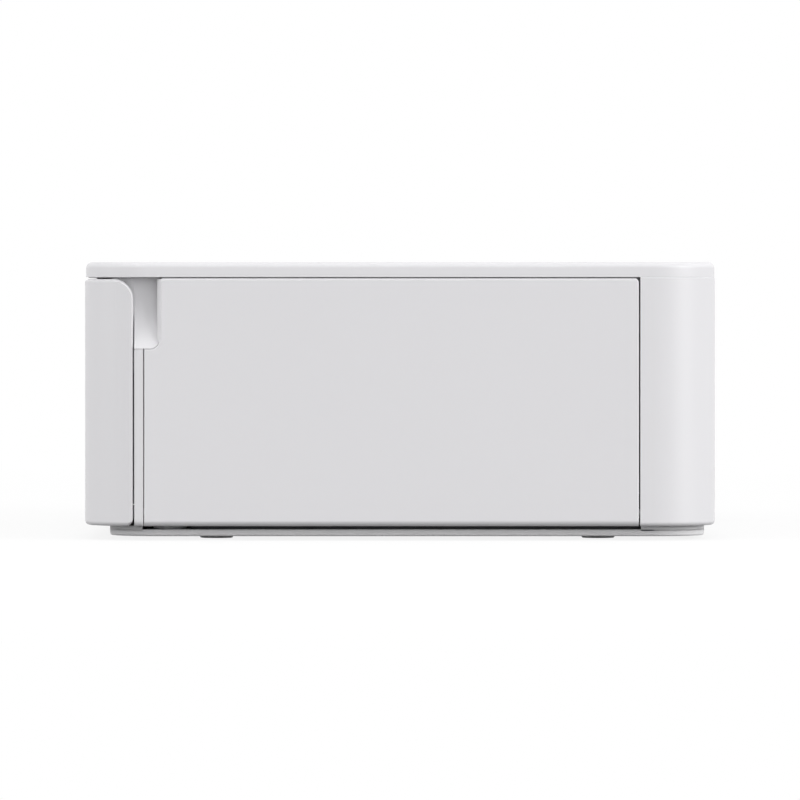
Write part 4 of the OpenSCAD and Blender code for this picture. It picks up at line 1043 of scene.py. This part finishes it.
# Nodes that keep their shape: the finish of each, and how far its edges are softened
finishes = {
    whitePlastic: ["side_bezel"],
    darkPlastic: ["display_panel", "board_parts", "dc_inlet", "fan_frame", "fan_rotor"],
    trayPlastic: ["chassis_tray"],
    cassettePlastic: ["ink_cassette_case"],
    latchPlastic: ["cassette_latch"],
    gearPlastic: ["cam_gear", "capstan_gear", "pickup_gear", "feed_idler", "pickup_idler", "takeup_gear",
                  "supply_hub"],
    rollerRubber: ["platen_roller", "pinch_roller", "pickup_roller"],
    sheetSteel: ["left_plate", "right_plate", "head_carriage", "motor_plate", "usb_socket", "card_socket",
                 "head_motor", "feed_motor"],
    shaftSteel: ["platen_shaft", "capstan_roller", "pickup_shaft", "cam_shaft", "latch_pin"],
    finMetal: ["heat_sink"],
    pinionBrass: ["feed_pinion", "head_pinion"],
    boardGreen: ["key_board", "main_board"],
    filmDark: ["supply_spool", "takeup_spool", "ink_film"],
    headCeramic: ["thermal_head"],
}
softened = {
    "side_bezel": 0.25, "chassis_tray": 0.2, "ink_cassette_case": 0.35, "cassette_latch": 0.2,
    "left_plate": 0.12, "right_plate": 0.12, "motor_plate": 0.12, "head_carriage": 0.15, "heat_sink": 0.08,
    "fan_frame": 0.2, "dc_inlet": 0.15, "usb_socket": 0.08, "card_socket": 0.1, "board_parts": 0.15,
    "head_motor": 0.5, "feed_motor": 0.6,
}
for material, names in finishes.items():
    for name in names:
        node = nodes[name]
        node.data.materials.clear()
        node.data.materials.append(material)
        if name in softened:
            weld = node.modifiers.new("Weld", "WELD")
            weld.merge_threshold = 0.002 * mm
            edge = node.modifiers.new("Edge", "BEVEL")
            edge.width, edge.segments = softened[name] * mm, 2
            edge.limit_method, edge.angle_limit = "ANGLE", math.radians(40)
print("carried-over nodes finished")


# Floor, lamps and camera; lamp places are in metres, camera heights in millimetres
studio = {
    "floorSize": 80, "floorPale": 0.9, "floorBounce": 0.15, "floorGlow": 0.85, "floorFade": (0.15, 0.6),
    "sky": (1.29, 0.67),  # strength of the light from the horizon and from overhead
    "lights": [
        # name, place, aim, width, height, power
        ("overhead", (0.8, 0.05, 1.15), (0.05, 0, 0.03), 1.1, 1.1, 1.0),
        ("rearSide", (0.8, 1.3, 0.5), (0.05, 0, 0.03), 0.9, 0.9, 13.0),
        ("frontSide", (0.5, -1.4, 0.5), (0.03, 0, 0.03), 0.9, 0.9, 7.0),
        ("lowFill", (2.2, 0, 0.2), (0, 0, 0.03), 3.0, 0.4, 3.0),
    ],
    "lens": 405.6, "sensor": 36, "distance": 1.89, "aim": 29.5, "eye": 57.8, "clip": (0.05, 50),
}


def emptied(owner):
    look = NodeTree(owner)
    look.tree.nodes.clear()
    return look


def seenDirectly(look):
    # What the camera sees straight on, in a reflection or through glass
    rays = ("Is Camera Ray", "Is Glossy Ray", "Is Transmission Ray")
    straight, mirrored, through = look.several("LightPath", rays)
    return look.step("MAXIMUM", look.step("MAXIMUM", straight, mirrored), through)


def grey(shade):
    return (shade, shade, shade, 1)


def makeFloor():
    nothingPicked()
    bpy.ops.mesh.primitive_plane_add(size=studio["floorSize"], location=(0, 0, 0))
    floor = bpy.context.object
    floor.name = "floor"
    material = bpy.data.materials.new("paleFloor")
    look = emptied(material)
    pale = look.node("BsdfDiffuse", {"Color": grey(studio["floorPale"])})
    bounce = look.node("BsdfDiffuse", {"Color": grey(studio["floorBounce"])})
    glow = look.node("Emission", {"Strength": 1.0})
    # The floor keeps the object's shadow close by and goes white further out
    place = look.node("TexCoord", output="Object")
    reach = look.node("VectorMath", {0: place}, "Value", operation="LENGTH")
    near0, far0 = studio["floorFade"]
    fade = look.node("MapRange", {
        "Value": reach, "From Min": near0, "From Max": far0, "To Min": studio["floorGlow"], "To Max": 1.0})
    seen = look.node("MixShader", {0: fade, 1: pale, 2: glow})
    shown = look.node("MixShader", {0: seenDirectly(look), 1: bounce, 2: seen})
    look.node("OutputMaterial", {"Surface": shown}, None)
    floor.data.materials.append(material)


def makeSky():
    # A little brighter towards the horizon than overhead, and plain white behind the object
    world = bpy.data.worlds.new("studioWorld")
    bpy.context.scene.world = world
    look = emptied(world)
    place = look.node("TexCoord", output="Generated")
    height = look.node("SeparateXYZ", {0: place}, "Z")
    horizon, overhead = studio["sky"]
    strength = look.node("MapRange", {
        "Value": height, "To Min": horizon, "To Max": overhead})
    sky = look.node("Background", {"Color": grey(1), "Strength": strength})
    white = look.node("Background", {"Color": grey(1), "Strength": 1.0})
    shown = look.node("MixShader", {0: seenDirectly(look), 1: sky, 2: white})
    look.node("OutputWorld", {"Surface": shown}, None)


def pointAt(thing, place, target):
    thing.rotation_euler = (Vector(target) - Vector(place)).to_track_quat("-Z", "Y").to_euler()


def makeLamps():
    for name, place, aim, width, height, power in studio["lights"]:
        bpy.ops.object.light_add(type="AREA", location=place)
        lamp = bpy.context.object
        lamp.name = name
        lamp.data.shape = "RECTANGLE"
        lamp.data.size, lamp.data.size_y, lamp.data.energy = width, height, power
        pointAt(lamp, place, aim)


def makeCamera():
    side = hw * mm
    eye = (side + studio["distance"], 0, studio["eye"] * mm)
    bpy.ops.object.camera_add(location=eye)
    camera = bpy.context.object
    camera.name = "productCamera"
    camera.data.lens, camera.data.sensor_width = studio["lens"], studio["sensor"]
    camera.data.clip_start, camera.data.clip_end = studio["clip"]
    pointAt(camera, eye, (side, 0, studio["aim"] * mm))
    bpy.context.scene.camera = camera


bpy.context.scene.view_settings.view_transform = "Standard"
makeFloor()
makeSky()
makeLamps()
makeCamera()
print("studio ready")
